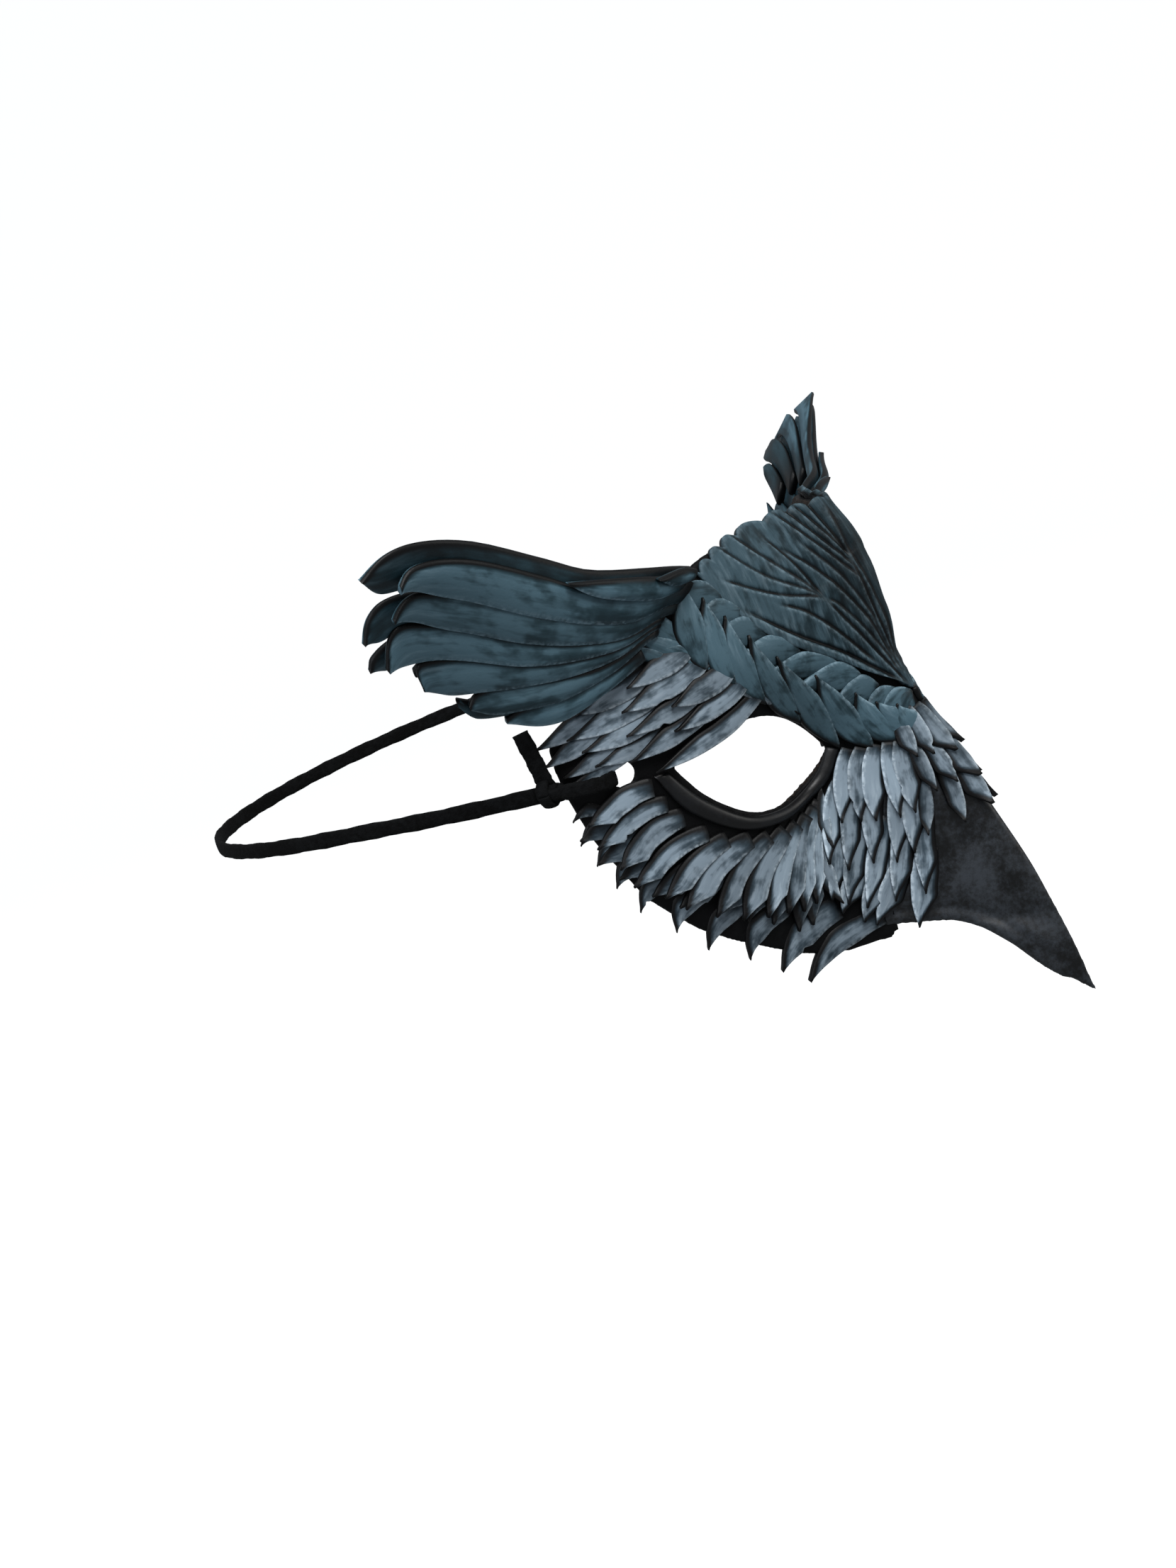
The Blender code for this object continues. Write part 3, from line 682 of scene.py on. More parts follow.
def makeTie(setup, side):
    rng = random.Random(11 + side)
    knot = np.array([setup["knotSide"], *setup["pivot"][1:]])
    through = np.array(setup["loop"])
    start, end = (knot + step for step in setup["loopEnds"])
    line = smoothLine([start, *raisedPoints("face", through[:, :2], through[:, 2]), end],
                      np.linspace(0, 1, 60))
    outside = outward("face", np.array([[5.5, 30.0]]))[0]
    faces = np.cross(unit(np.gradient(line, axis=0)), (0.0, 0.0, 1.0))
    faces = np.where((np.linalg.norm(faces, axis=1) < 0.2)[:, None], outside, faces)
    loop = plainObject("lace_loop_strap_" + sideName[side],
                       strapRings(line, setup["loopSize"], faces, rng), side, suede)
    place(loop, "mask", "lace_loop_" + sideName[side], "suede_lace")

    bundle = newBundle()  # the knot: turns of lace round each other, over a core
    angle = np.linspace(0, 2 * math.pi, 33)
    for turn, (tilt, size, aside) in enumerate(setup["turns"]):
        ring = np.stack([0.85 * size * np.cos(angle), size * np.sin(angle) * math.cos(tilt),
                         size * np.sin(angle) * math.sin(tilt)], -1)
        ring = ring + knot + (aside, 0.2 * turn, 0)
        addPlain(bundle, strapRings(ring, setup["turnSize"], unit(ring - ring.mean(0)), rng))
    a = np.linspace(0, math.pi, 9)[1:-1, None]
    b = np.linspace(0, 2 * math.pi, 13)[:-1]
    ball = np.stack([np.sin(a) * np.cos(b), np.cos(a) + 0 * b, np.sin(a) * np.sin(b)], -1)
    addPlain(bundle, ball * setup["core"] + knot)
    piece = bundleObject("lace_knot_" + sideName[side], bundle, side, suede)
    place(piece, "mask", "knot_" + sideName[side], "suede_lace")

    line = smoothLine(knot + np.array(setup["tail"]), np.linspace(0, 1, 22))
    faces = np.tile(unit(np.array([1.0, -0.25, 0.05])), (22, 1))
    tail = plainObject("lace_tail_strap_" + sideName[side],
                       strapRings(line, setup["tailSize"], faces, rng), side, suede)
    place(tail, "mask", "lace_tail_" + sideName[side], "suede_lace")


makeLace(laceSetup)
for side in (-1, 1):
    makeTie(laceSetup, side)
print("lace tied")


# base shell
shellSetup = {
    "thick": 2.4,
    "edge": ((5.85, 41), (5.85, 32), (5.8, 23), (5.72, 14), (5.6, 6), (5.45, -3), (5.2, -11),
             (4.95, -17), (4.5, -23.5), (4.0, -29), (3.6, -33), (3.0, -36.5), (2.4, -37.5),
             (0, -38)),
    "brow": ((5.80, 43), (5.6, 45), (5.3, 48), (4.9, 53), (4.55, 59), (4.2, 65), (3.9, 69),
             (3.6, 71), (3.4, 72), (3.1, 73.3), (2.7, 74), (2.2, 74.6), (1.3, 75), (0, 75)),
    "eye": (((4.72, 27.2), (4.42, 29.3), (4.05, 30.6), (3.65, 31), (3.3, 28.8), (3.0, 23.8),
             (2.66, 14.6)),
            ((2.66, 14.6), (2.95, 10.2), (3.35, 7.2), (3.75, 6.6), (4.15, 9), (4.5, 16.5),
             (4.72, 27.2))),
    "nose": ((11.9, 8), (12.9, 0), (14.8, -15), (16.8, -30), (18.3, -50)),  # the beak's opening
    "tieHole": (5.25, 30.0), "tieRadius": 3.4,
    "grid": (150, 44),  # steps across and up
    "voxel": 0.75,
}


def voxels(piece, size):
    remesh = piece.modifiers.new("voxels", "REMESH")
    remesh.mode = "VOXEL"
    remesh.voxel_size = size * mm


def settledMesh(piece, rounds, material):  # what the modifiers and some smoothing come to
    soften = piece.modifiers.new("soften", "SMOOTH")
    soften.factor = 0.5
    soften.iterations = rounds
    graph = bpy.context.evaluated_depsgraph_get()
    mesh = bpy.data.meshes.new_from_object(piece.evaluated_get(graph))
    piece.modifiers.clear()
    piece.data = mesh
    mesh.materials.clear()
    mesh.materials.append(material)
    mesh.shade_smooth()
    both = []
    for source, key in ((mesh.vertices, "co"), (mesh.vertex_normals, "vector")):
        values = np.empty(len(mesh.vertices) * 3, np.float32)
        source.foreach_get(key, values)
        both.append(values.reshape(-1, 3))
    return mesh, *both


def closedLine(lines, count):  # an outline with sharp corners where its lines meet
    where = np.linspace(0, 1, count // len(lines) + 1)[:-1]
    return np.concatenate([smoothLine(line, where) for line in lines])


def overRidge(line):  # a line that ends on the ridge, from the right side to the left
    return [(-c, h) for c, h in line] + list(reversed(line[:-1]))


def makeShell(setup):
    wide, tall = setup["grid"]
    low, high = (smoothLine(overRidge(setup[key]), np.linspace(0, 1, wide))
                 for key in ("edge", "brow"))
    t = np.linspace(0, 1, tall)[:, None, None]
    places = low[None] * (1 - t) + high[None] * t
    outer, inner = (raisedPoints("face", places, h) for h in (0, -setup["thick"]))
    # rings run down the outer face and back up the inner one, one ring for each column
    rings = np.concatenate([outer, inner[::-1]], 0).transpose(1, 0, 2)
    shell = plainObject("face_shell_base", rings, 1, dyedLeather)
    cuts = []
    for side in (-1, 1):
        outline = closedLine(setup["eye"], 60) * (side, 1)
        cuts.append(np.stack([raisedPoints("face", outline, h) for h in (-9, 0, 9)]))
        a = np.linspace(0, 2 * math.pi, 25)[:-1, None]
        spot = np.array([setup["tieHole"]]) * (side, 1)
        centre, out = faceSurface(spot)[0], outward("face", spot)[0]
        e1 = unit(np.cross(out, (0, 0, 1)))
        ring = setup["tieRadius"] * (np.cos(a) * e1 + np.sin(a) * np.cross(out, e1))
        cuts.append(np.stack([centre + ring + out * h for h in (-8, 8)]))
    outline = list(setup["nose"]) + [(-w, h) for w, h in reversed(setup["nose"])]
    cuts.append(np.array([[(x, -f, z) for x, z in outline] for f in (60, 160)], float))
    voxels(shell, setup["voxel"])
    cutters = [plainObject("cutter", cut, 1, dyedLeather) for cut in cuts]
    for cutter in cutters:
        boolean = shell.modifiers.new("cut", "BOOLEAN")
        boolean.object = cutter
        boolean.operation = "DIFFERENCE"
        boolean.solver = "EXACT"
    voxels(shell, setup["voxel"])  # rounds every cut edge a little
    mesh, where, facing = settledMesh(shell, 3, dyedLeather)
    for cutter in cutters:
        bpy.data.objects.remove(cutter, do_unlink=True)
    headMiddle = (0, 0.03, 0.02)  # hide that looks towards it shows its flesh side
    inside = ((where - headMiddle) * facing).sum(-1) < 0
    layer = mesh.attributes.new("inside", "FLOAT", "POINT")
    layer.data.foreach_set("value", inside.astype(np.float32))
    print("shell faces", len(mesh.polygons))
    place(shell, "mask", "face_shell", "black_leather")


makeShell(shellSetup)
print("shell cut")


# cut feather tips along the lower edge
fringe = {
    "tips": (  # root, tip, half width
        ((5.50, 21.5), (5.86, 24.0), 1.8), ((5.45, 17.0), (5.88, 18.0), 2.3),
        ((5.35, 11.5), (5.82, 12.0), 2.7), ((5.25, 6.0), (5.74, 5.0), 2.9),
        ((5.05, 0.0), (5.62, -3.0), 3.0), ((4.80, -6.0), (5.36, -11.5), 3.0),
        ((4.35, -12.0), (5.08, -18.5), 3.1), ((3.85, -18.0), (4.62, -25.5), 3.4),
        ((2.95, -24.0), (4.18, -31.0), 4.0), ((2.20, -30.5), (3.76, -37.0), 3.6),
    ),
    "look": {"rootWidth": 0.8, "widest": 0.5, "taper": 0.55, "sharp": 1.25, "skew": -0.85,
             "bend": 1.6, "camber": 0.5, "lift": (0.1, 0.7), "curl": 1.0, "thick": 1.5,
             "gap": 1.8, "cover": 0.75},
}


def makeFringe(setup, side):
    rng = random.Random(40 + side)
    bundle = newBundle()
    for root, tip, half in setup["tips"]:
        addFeather(bundle, "face", root, tip, setup["look"], rng, half=half)
    piece = bundleObject("edge_feathers_" + sideName[side], bundle, side, paleLeather)
    place(piece, "mask", "face_shell", "pale_leather")


# cheek feathers
cheek = {
    "outer": {
        "roots": ((5.25, 24), (5.15, 14), (4.95, 5), (4.6, -2), (4.2, -6), (3.8, -8),
                  (3.4, -8.5), (3.15, -8)),
        "tips": ((5.8, 21), (5.72, 12), (5.58, 4), (5.35, -3), (5.05, -9), (4.65, -14),
                 (4.25, -18), (3.85, -21.5), (3.5, -25), (3.25, -24)),
        "count": 10,
        "look": {"half": 3.1, "rootWidth": 0.9, "widest": 0.3, "bend": 1.3,
                 "lift": (0.6, 1.6), "curl": 1.0, "gap": 2.0, "cover": 0.5,
                 "tones": (0.0, 0.5)},
    },
    "inner": {
        "roots": ((5.02, 26.5), (4.87, 17), (4.56, 6.5), (4.1, 2), (3.6, 0.4), (3.15, 1.2),
                  (2.9, 3.5)),
        "tips": ((5.68, 22), (5.61, 12), (5.42, 1.5), (5.1, -7), (4.6, -14), (4.1, -18),
                 (3.6, -20), (3.1, -19)),
        "count": 12,
        "look": {"half": 2.9, "rootWidth": 0.8, "widest": 0.4, "taper": 0.78, "bend": 2.4,
                 "lift": (1.2, 3.0), "curl": 0.8, "gap": 1.7, "tones": (0.0, 1.3),
                 "tilt": 0.2},
    },
    "last": (((3.12, -5), (3.02, -23), 2.9), ((2.92, 6), (2.98, -9), 2.2)),
}


def makeCheek(setup, side):
    rng = random.Random(60 + side)
    bundle = newBundle()
    for row in (setup["outer"], setup["inner"]):
        addRow(bundle, "face", row["roots"], row["tips"], row["count"], row["look"], rng)
    for root, tip, half in setup["last"]:  # diamond shaped ones beside the nose
        addFeather(bundle, "face", root, tip, setup["inner"]["look"], rng, half=half,
                   rootWidth=0.15, widest=0.6, taper=0.6, skew=-0.5, bend=0.6)
    piece = bundleObject("cheek_plumes_" + sideName[side], bundle, side, paleLeather)
    place(piece, "mask", "cheek_feathers_" + sideName[side], "pale_leather")


# feathers beside the nose
noseSide = {
    "rows": (
        (((2.45, -16), (2.0, -17), (1.6, -18), (1.2, -16)),
         ((2.95, -25), (2.5, -30), (2.1, -34), (1.35, -36)), 4, 3.5, (0.8, 2.0)),
        (((2.75, -4), (2.35, -6), (1.9, -7), (1.5, -7), (1.1, -5)),
         ((3.15, -19), (2.75, -23), (2.3, -27), (1.85, -29), (1.25, -28)), 5, 3.2, (1.0, 2.5)),
        (((2.72, 7), (2.35, 4), (1.95, 3), (1.5, 3), (1.15, 4)),
         ((3.0, -12), (2.6, -15), (2.15, -17), (1.7, -18), (1.2, -16)), 5, 3.0, (1.2, 2.9)),
        (((2.50, 14), (2.15, 12.5), (1.8, 12), (1.45, 11.5), (1.15, 11)),
         ((2.70, -3), (2.35, -5), (2.0, -6.5), (1.55, -7), (1.15, -6)), 5, 2.8, (1.4, 3.3)),
    ),
    "look": {"rootWidth": 0.7, "widest": 0.4, "taper": 0.66, "sharp": 1.2, "skew": 0.8,
             "bend": 1.8, "curl": 0.6, "over": 1, "gap": 1.7, "tones": (0.4, 1.6)},
}


def makeNoseSide(setup, side):
    rng = random.Random(80 + side)
    bundle = newBundle()
    for roots, tips, count, half, lift in setup["rows"]:
        addRow(bundle, "face", roots, tips, count, setup["look"], rng, half=half, lift=lift)
    piece = bundleObject("nose_plumes_" + sideName[side], bundle, side, paleLeather)
    place(piece, "mask", "nose_feathers_" + sideName[side], "pale_leather")


# temple feathers
temple = {
    "feathers": (  # root, tip, half width, lift
        ((5.15, 45.0), (5.92, 39.5), 2.9, (0.6, 2.4)),
        ((5.05, 39.5), (5.78, 35.5), 2.5, (0.6, 1.4)),
        ((4.55, 52.5), (5.45, 49.5), 2.9, (0.9, 2.0)),
        ((4.45, 48.5), (5.62, 44.5), 3.3, (0.9, 2.2)),
        ((4.55, 43.0), (5.52, 40.5), 2.9, (0.9, 2.2)),
        ((4.65, 37.5), (5.45, 36.0), 2.6, (0.8, 1.8)),
        ((3.90, 55.0), (4.85, 52.0), 3.0, (1.2, 2.6)),
        ((3.85, 50.5), (5.00, 47.0), 3.2, (1.2, 2.8)),
        ((3.95, 45.0), (5.05, 41.0), 2.9, (1.2, 2.8)),
        ((3.95, 40.0), (5.12, 34.5), 2.7, (1.2, 2.6)),
        ((3.55, 46.5), (4.45, 44.5), 3.0, (1.6, 3.2)),
        ((3.45, 42.0), (4.55, 38.5), 2.9, (1.6, 3.2)),
        ((3.40, 37.0), (4.92, 30.2), 2.7, (1.5, 2.6)),
        ((4.95, 37.0), (5.75, 33.0), 2.0, (0.5, 1.0)),
        ((4.90, 49.5), (5.95, 44.0), 2.8, (0.5, 2.2)),
    ),
    "look": {"rootWidth": 0.8, "widest": 0.4, "taper": 0.6, "sharp": 1.3, "skew": -0.7,
             "bend": -1.6, "curl": 0.7, "over": -1, "gap": 1.4, "tones": (0.0, 1.2)},
    "lid": (((4.15, 53.0), (3.05, 26.5), 2.3, (1.0, 1.6)),),
}


def makeTemple(setup, side):
    rng = random.Random(100 + side)
    bundle = newBundle()
    for root, tip, half, lift in setup["feathers"]:
        addFeather(bundle, "face", root, tip, setup["look"], rng, half=half, lift=lift)
    # the lid leaf under the brow gets less paint: darker leather, partly painted shade from the
    # brow
    for root, tip, half, lift in setup["lid"]:
        addFeather(bundle, "face", root, tip, setup["look"], rng, half=half, lift=lift,
                   cover=0.4, bend=-1.0, over=1)
    piece = bundleObject("temple_plumes_" + sideName[side], bundle, side, paleLeather)
    place(piece, "mask", "temple_feathers_" + sideName[side], "pale_leather")


# brow bands, plaited like a rope
brow = {
    "top": ((0.2, 21.5), (1.15, 26), (1.8, 32), (2.65, 44), (3.05, 56), (3.3, 65),
            (3.5, 73)),
    "middle": ((0.35, 16.5), (1.3, 18.5), (2.0, 23.5), (2.8, 37), (3.25, 48), (3.55, 58),
               (3.8, 67)),
    "foot": ((0.5, 11.5), (1.5, 11.2), (2.4, 13.5), (3.15, 28.5), (3.6, 39.5), (3.98, 49.5),
             (4.25, 60)),
    "count": 9,
    "look": {"rootWidth": 0.1, "widest": 0.42, "taper": 0.48, "sharp": 1.5, "skew": 0.0,
             "camber": 0.8, "thick": 1.6, "notch": 0.0, "curl": 0.0, "steps": 24, "gap": 1.1,
             "tones": (0.1, 1.0)},
    "plain": (((3.35, 38.5), (4.40, 57.5), 3.4), ((3.75, 45.5), (4.62, 61.0), 3.0),
              ((4.2, 50.0), (4.75, 58.5), 2.4),
              ((4.05, 54.0), (4.5, 66.0), 3.2)),  # fill the corner under the wing's root
}


def makeBrow(setup, side):
    rng = random.Random(120 + side)
    bundle = newBundle()
    count = setup["count"]
    top, middle, foot = (setup[key] for key in ("top", "middle", "foot"))
    for k in range(-1, count):  # strands that run down and out
        t = k / (count + 1)
        root = smoothLine(top, t - 0.03)
        tip = smoothLine(middle, t + 0.2) * 0.6 + smoothLine(foot, t + 0.2) * 0.4
        addFeather(bundle, "face", root, tip, setup["look"], rng, bend=1.3, over=1, tilt=0.12,
                   lift=(1.2, 2.2), half=4.1)
    for k in range(-1, count - 1):  # strands that cross them, upwards
        t = (k + 0.5) / count
        root = smoothLine(foot, t - 0.04)
        tip = smoothLine(top, t + 0.17) * 0.4 + smoothLine(middle, t + 0.17) * 0.6
        addFeather(bundle, "face", root, tip, setup["look"], rng, bend=-1.5, over=1, tilt=0.12,
                   lift=(1.5, 2.8), half=3.9)
    for root, tip, half in setup["plain"]:
        addFeather(bundle, "face", root, tip, setup["look"], rng, bend=1.0, over=1,
                   rootWidth=0.6, lift=(0.5, 1.4), half=half)
    piece = bundleObject("brow_plait_" + sideName[side], bundle, side, slateLeather)
    place(piece, "mask", "brow_band_" + sideName[side], "slate_leather")


# forehead fan, carved in low relief
fan = {
    "edge": ((0, 75.3), (1.2, 76), (2.25, 76), (2.85, 74.4), (3.4, 70.5)),
    "bow": ((0, 48), (0.75, 48), (1.4, 47), (1.95, 45), (2.5, 43)),
    "foot": (0.05, 20.5),
    "heights": {"lift": 1.7, "thick": 1.6, "tone": -0.2, "cover": 0.36,
                "darkMiddle": (0, 52), "darkSize": (1.9, 26)},  # where it keeps least paint
    "grooves": (  # (across, out from the nose) points, depth mm, width mm
        (((0.03, 0.06), (0.05, 0.4), (0.07, 0.72), (0.03, 1.0)), 0.5, 0.55),
        (((0.10, 0.16), (0.14, 0.42), (0.11, 0.72)), 0.6, 0.5),
        (((0.10, 0.70), (0.11, 0.86), (0.12, 1.02)), 0.9, 0.6),
        (((0.10, 0.70), (0.15, 0.86), (0.19, 1.02)), 0.8, 0.5),
        (((0.11, 0.66), (0.20, 0.82), (0.27, 1.02)), 0.7, 0.5),
        (((0.12, 0.60), (0.24, 0.78), (0.35, 1.02)), 0.6, 0.5),
        (((0.17, 0.36), (0.24, 0.62), (0.36, 0.86)), 0.5, 0.55),
        (((0.22, 0.14), (0.26, 0.44), (0.35, 0.64), (0.50, 0.88)), 0.6, 0.55),
        (((0.52, 0.60), (0.50, 0.78), (0.50, 0.93)), 0.7, 0.6),
        (((0.52, 0.60), (0.60, 0.82), (0.65, 1.02)), 0.5, 0.6),
        (((0.52, 0.60), (0.70, 0.80), (0.79, 1.02)), 0.5, 0.5),
        (((0.52, 0.60), (0.74, 0.72), (0.92, 0.92)), 0.6, 0.5),
        (((0.36, 0.04), (0.44, 0.22), (0.48, 0.42), (0.52, 0.60)), 0.7, 0.55),
        (((0.27, 0.10), (0.33, 0.30), (0.42, 0.52), (0.50, 0.59)), 0.5, 0.5),
        (((0.64, 0.20), (0.66, 0.42), (0.72, 0.60), (0.80, 0.70)), 0.6, 0.55),
        (((0.60, 0.06), (0.80, 0.26), (0.90, 0.50), (0.97, 0.80)), 0.9, 0.65),
        (((0.14, 0.10), (0.20, 0.28), (0.21, 0.44)), 0.4, 0.45),
    ),
}


def fanPlaces(aside, reach):  # aside -1 to 1 across the fan, reach 0 at its foot to 1 at its edge
    t = np.abs(aside)
    tip = smoothLine(fan["edge"], t)
    foot = np.stack([0.3 * t, fan["foot"][1] + 4 * t ** 2], -1)
    hinge = 2 * smoothLine(fan["bow"], t) - (foot + tip) / 2
    r = reach[..., None]
    found = (1 - r) ** 2 * foot + 2 * r * (1 - r) * hinge + r ** 2 * tip
    return found * np.stack([np.where(aside < 0, -1.0, 1.0), np.ones_like(t)], -1)


def makeFan(setup):
    rng = random.Random(140)
    aside, out = np.meshgrid(np.linspace(-1, 1, 300), np.linspace(0.03, 1, 150), indexing="ij")
    scallop = np.abs(np.sin(aside * 22 + 0.9 * np.sin(aside * 7))) ** 0.7
    out = out * (0.975 + 0.03 * scallop)
    grooves = []
    for side in (-1, 1):
        for line, depth, width in setup["grooves"]:
            shift = 0.0 if side < 0 else rng.uniform(-0.02, 0.02)
            points = np.array(line)
            line = fanPlaces(side * np.clip(points[:, 0] + shift, 0.01, 1), points[:, 1])
            grooves.append((line, depth, width))
    bundle = newBundle()
    carvedSheet(bundle, fanPlaces(aside, out), grooves, setup["heights"], rng, setup["foot"])
    piece = bundleObject("forehead_plumes", bundle, 1, slateLeather)
    place(piece, "mask", "forehead_fan", "slate_leather")


# feathers over the beak's root
bridge = {
    "rows": (
        (((-0.85, 3), (-0.3, 5), (0.3, 5), (0.85, 3)),
         ((-1.0, -15), (-0.35, -12), (0.25, -12.5), (0.9, -16)), 4, 2.3, (0.9, 2.4), 1.2),
        (((-1.3, 11), (-0.5, 11), (0.5, 11), (1.3, 11)),
         ((-1.25, -3), (-0.45, -4), (0.45, -4), (1.25, -3)), 6, 2.2, (1.4, 3.0), 0.8),
        (((-1.3, 19), (-0.5, 18), (0.5, 18), (1.3, 19)),
         ((-1.45, 6), (-0.5, 4), (0.5, 4), (1.45, 6)), 7, 2.2, (1.8, 3.4), 0.5),
    ),
    "look": {"rootWidth": 0.7, "widest": 0.4, "taper": 0.7, "sharp": 1.2, "skew": 0.6,
             "bend": 0.6, "over": 1, "gap": 1.5, "cover": 0.85, "tones": (0.0, 0.7)},
    "strays": (((-1.2, 1), (-1.42, -13)), ((1.2, 1), (1.42, -13))),
}


def makeBridge(setup):
    rng = random.Random(160)
    bundle = newBundle()
    for roots, tips, count, half, lift, curl in setup["rows"]:
        addRow(bundle, "face", roots, tips, count, setup["look"], rng, half=half, lift=lift,
               curl=curl)
    for root, tip in setup["strays"]:
        addFeather(bundle, "face", root, tip, setup["look"], rng, half=2.2, lift=(1.2, 2.8),
                   curl=1.6, cover=0.6)
    piece = bundleObject("bridge_plumes", bundle, 1, paleLeather)
    place(piece, "mask", "bridge_feathers", "pale_leather")


# wings
wings = {
    "upper": (  # upper edge, lower edge, lift, cover, curl
        (((-0.05, 0.00), (0.3, -0.02), (0.7, -0.02), (0.9, -0.02), (1.0, 0.03)),
         ((-0.05, 0.20), (0.3, 0.26), (0.7, 0.24), (0.88, 0.22), (1.0, 0.03)),
         (-1.4, -1.2), 0.3, 0.4),
        (((0.4, 0.30), (0.8, 0.30), (0.92, 0.30), (1.0, 0.42)),
         ((0.4, 0.5), (0.8, 0.5), (0.93, 0.50), (1.0, 0.42)), (-1.6, -1.4), 0.5, 1.4),
        (((-0.08, 0.12), (0.2, 0.15), (0.5, 0.09), (0.72, 0.06), (0.82, 0.07), (0.88, 0.11)),
         ((-0.08, 0.34), (0.2, 0.40), (0.5, 0.38), (0.7, 0.31), (0.8, 0.23), (0.88, 0.15)),
         (0.6, 1.6), 1.0, 1.8),
        (((-0.10, 0.28), (0.2, 0.32), (0.5, 0.31), (0.7, 0.28), (0.8, 0.27), (0.89, 0.33)),
         ((-0.10, 0.46), (0.2, 0.55), (0.5, 0.57), (0.7, 0.52), (0.8, 0.44), (0.89, 0.35)),
         (0.2, 1.2), 0.9, 1.8),
        (((-0.02, 0.03), (0.1, 0.03), (0.3, 0.02), (0.44, 0.09)),
         ((-0.02, 0.20), (0.1, 0.22), (0.3, 0.18), (0.44, 0.10)), (1.0, 2.2), 0.8, 0.4),
        (((-0.03, -0.02), (0.02, -0.04), (0.08, -0.02), (0.15, 0.03)),
         ((-0.03, 0.08), (0.02, 0.11), (0.08, 0.09), (0.15, 0.04)), (1.8, 2.4), 0.9, 0.3),
    ),
    "lower": (
        (((0.5, 0.52), (0.85, 0.55), (0.98, 0.58), (1.05, 0.66)),
         ((0.5, 0.72), (0.85, 0.74), (0.98, 0.72), (1.05, 0.67)), (-1.8, -1.6), 0.5, 1.0),
        (((0.6, 0.74), (0.8, 0.74), (0.88, 0.78), (0.91, 0.82)),
         ((0.6, 0.9), (0.8, 0.88), (0.86, 0.86), (0.91, 0.83)), (-1.8, -1.6), 0.2, 0.5),
        (((-0.05, 0.46), (0.2, 0.52), (0.5, 0.55), (0.75, 0.48), (0.88, 0.46), (0.98, 0.60)),
         ((-0.05, 0.56), (0.2, 0.64), (0.5, 0.72), (0.75, 0.70), (0.88, 0.69), (0.98, 0.63)),
         (0.2, 1.0), 1.0, 2.0),
        (((-0.05, 0.54), (0.2, 0.62), (0.5, 0.70), (0.75, 0.70), (0.86, 0.74), (0.92, 0.88)),
         ((-0.05, 0.62), (0.2, 0.74), (0.5, 0.86), (0.75, 0.92), (0.86, 0.92), (0.92, 0.89)),
         (0.0, 0.8), 1.0, 1.0),
        (((0.45, 0.96), (0.7, 0.98), (0.82, 1.0), (0.88, 1.06)),
         ((0.45, 1.04), (0.7, 1.08), (0.82, 1.10), (0.88, 1.08)), (-1.0, -0.8), 0.5, 0.6),
        (((-0.05, 0.62), (0.2, 0.74), (0.5, 0.84), (0.65, 0.90), (0.74, 0.99)),
         ((-0.05, 0.72), (0.2, 0.88), (0.4, 0.98), (0.6, 1.03), (0.74, 1.01)),
         (-0.2, 0.5), 1.0, 0.5),
        (((0.02, 0.80), (0.2, 0.86), (0.4, 0.93), (0.56, 1.06)),
         ((0.0, 0.98), (0.2, 1.08), (0.4, 1.13), (0.56, 1.09)), (-0.8, -0.2), 0.9, 0.4),
    ),
    "look": {"camber": 1.1, "tilt": 0.10, "thick": 1.4, "steps": 44, "gap": 1.3,
             "tones": (1.1, 2.2), "strokes": 0.6},
    "backs": {"upper": 1.0, "lower": 0.45},  # brushed undersides, seen on the left wing
}


def makeWing(setup, side):
    surface = "wing" if side < 0 else "leftWing"
    for part in ("upper", "lower"):
        rng = random.Random(180 + side + len(part))
        bundle = newBundle()
        for upper, lower, lift, cover, curl in setup[part]:
            addLeaf(bundle, surface, upper, lower, setup["look"], rng, lift=lift, cover=cover,
                    curl=curl, back=setup["backs"][part])
        piece = bundleObject("wing_" + part + "_plumes_" + sideName[side], bundle, side,
                             slateLeather)
        place(piece, "mask", "wing_" + part + "_" + sideName[side], "slate_leather")


# eye rims
eyeRim = {
    "inner": ((4.80, 26.8), (4.56, 16.5), (4.2, 8.6), (3.77, 6.3), (3.35, 6.9), (2.95, 9.8),
              (2.68, 15.5)),
    "outer": ((4.95, 27), (4.74, 15), (4.32, 5.9), (3.8, 3.1), (3.27, 3.7), (2.75, 7),
              (2.46, 14.0)),
    "high": 2.0,
}


def makeEyeRim(setup, side):
    u = np.linspace(0, 1, 70)
    inner, outer = smoothLine(setup["inner"], u), smoothLine(setup["outer"], u)
    v = np.array([0, 0.04, 0.2, 0.42, 0.5, 0.6, 0.8, 0.96, 1, 0.9, 0.1])
    up = np.array([0.2, 0.45, 0.75, 0.95, 1.0, 0.98, 0.85, 0.55, 0.25, 0.0, 0.0])
    places = outer[:, None] * (1 - v)[None, :, None] + inner[:, None] * v[None, :, None]
    swell = np.clip(np.minimum(u * 9, (1 - u) * 9), 0, 1) ** 0.6
    heights = 0.2 + (setup["high"] * up)[None] * (0.35 + 0.65 * swell)[:, None]
    piece = plainObject("eye_welt_" + sideName[side], raisedPoints("face", places, heights),
                        side, waxedLeather)
    place(piece, "mask", "eye_rim_" + sideName[side], "polished_leather")


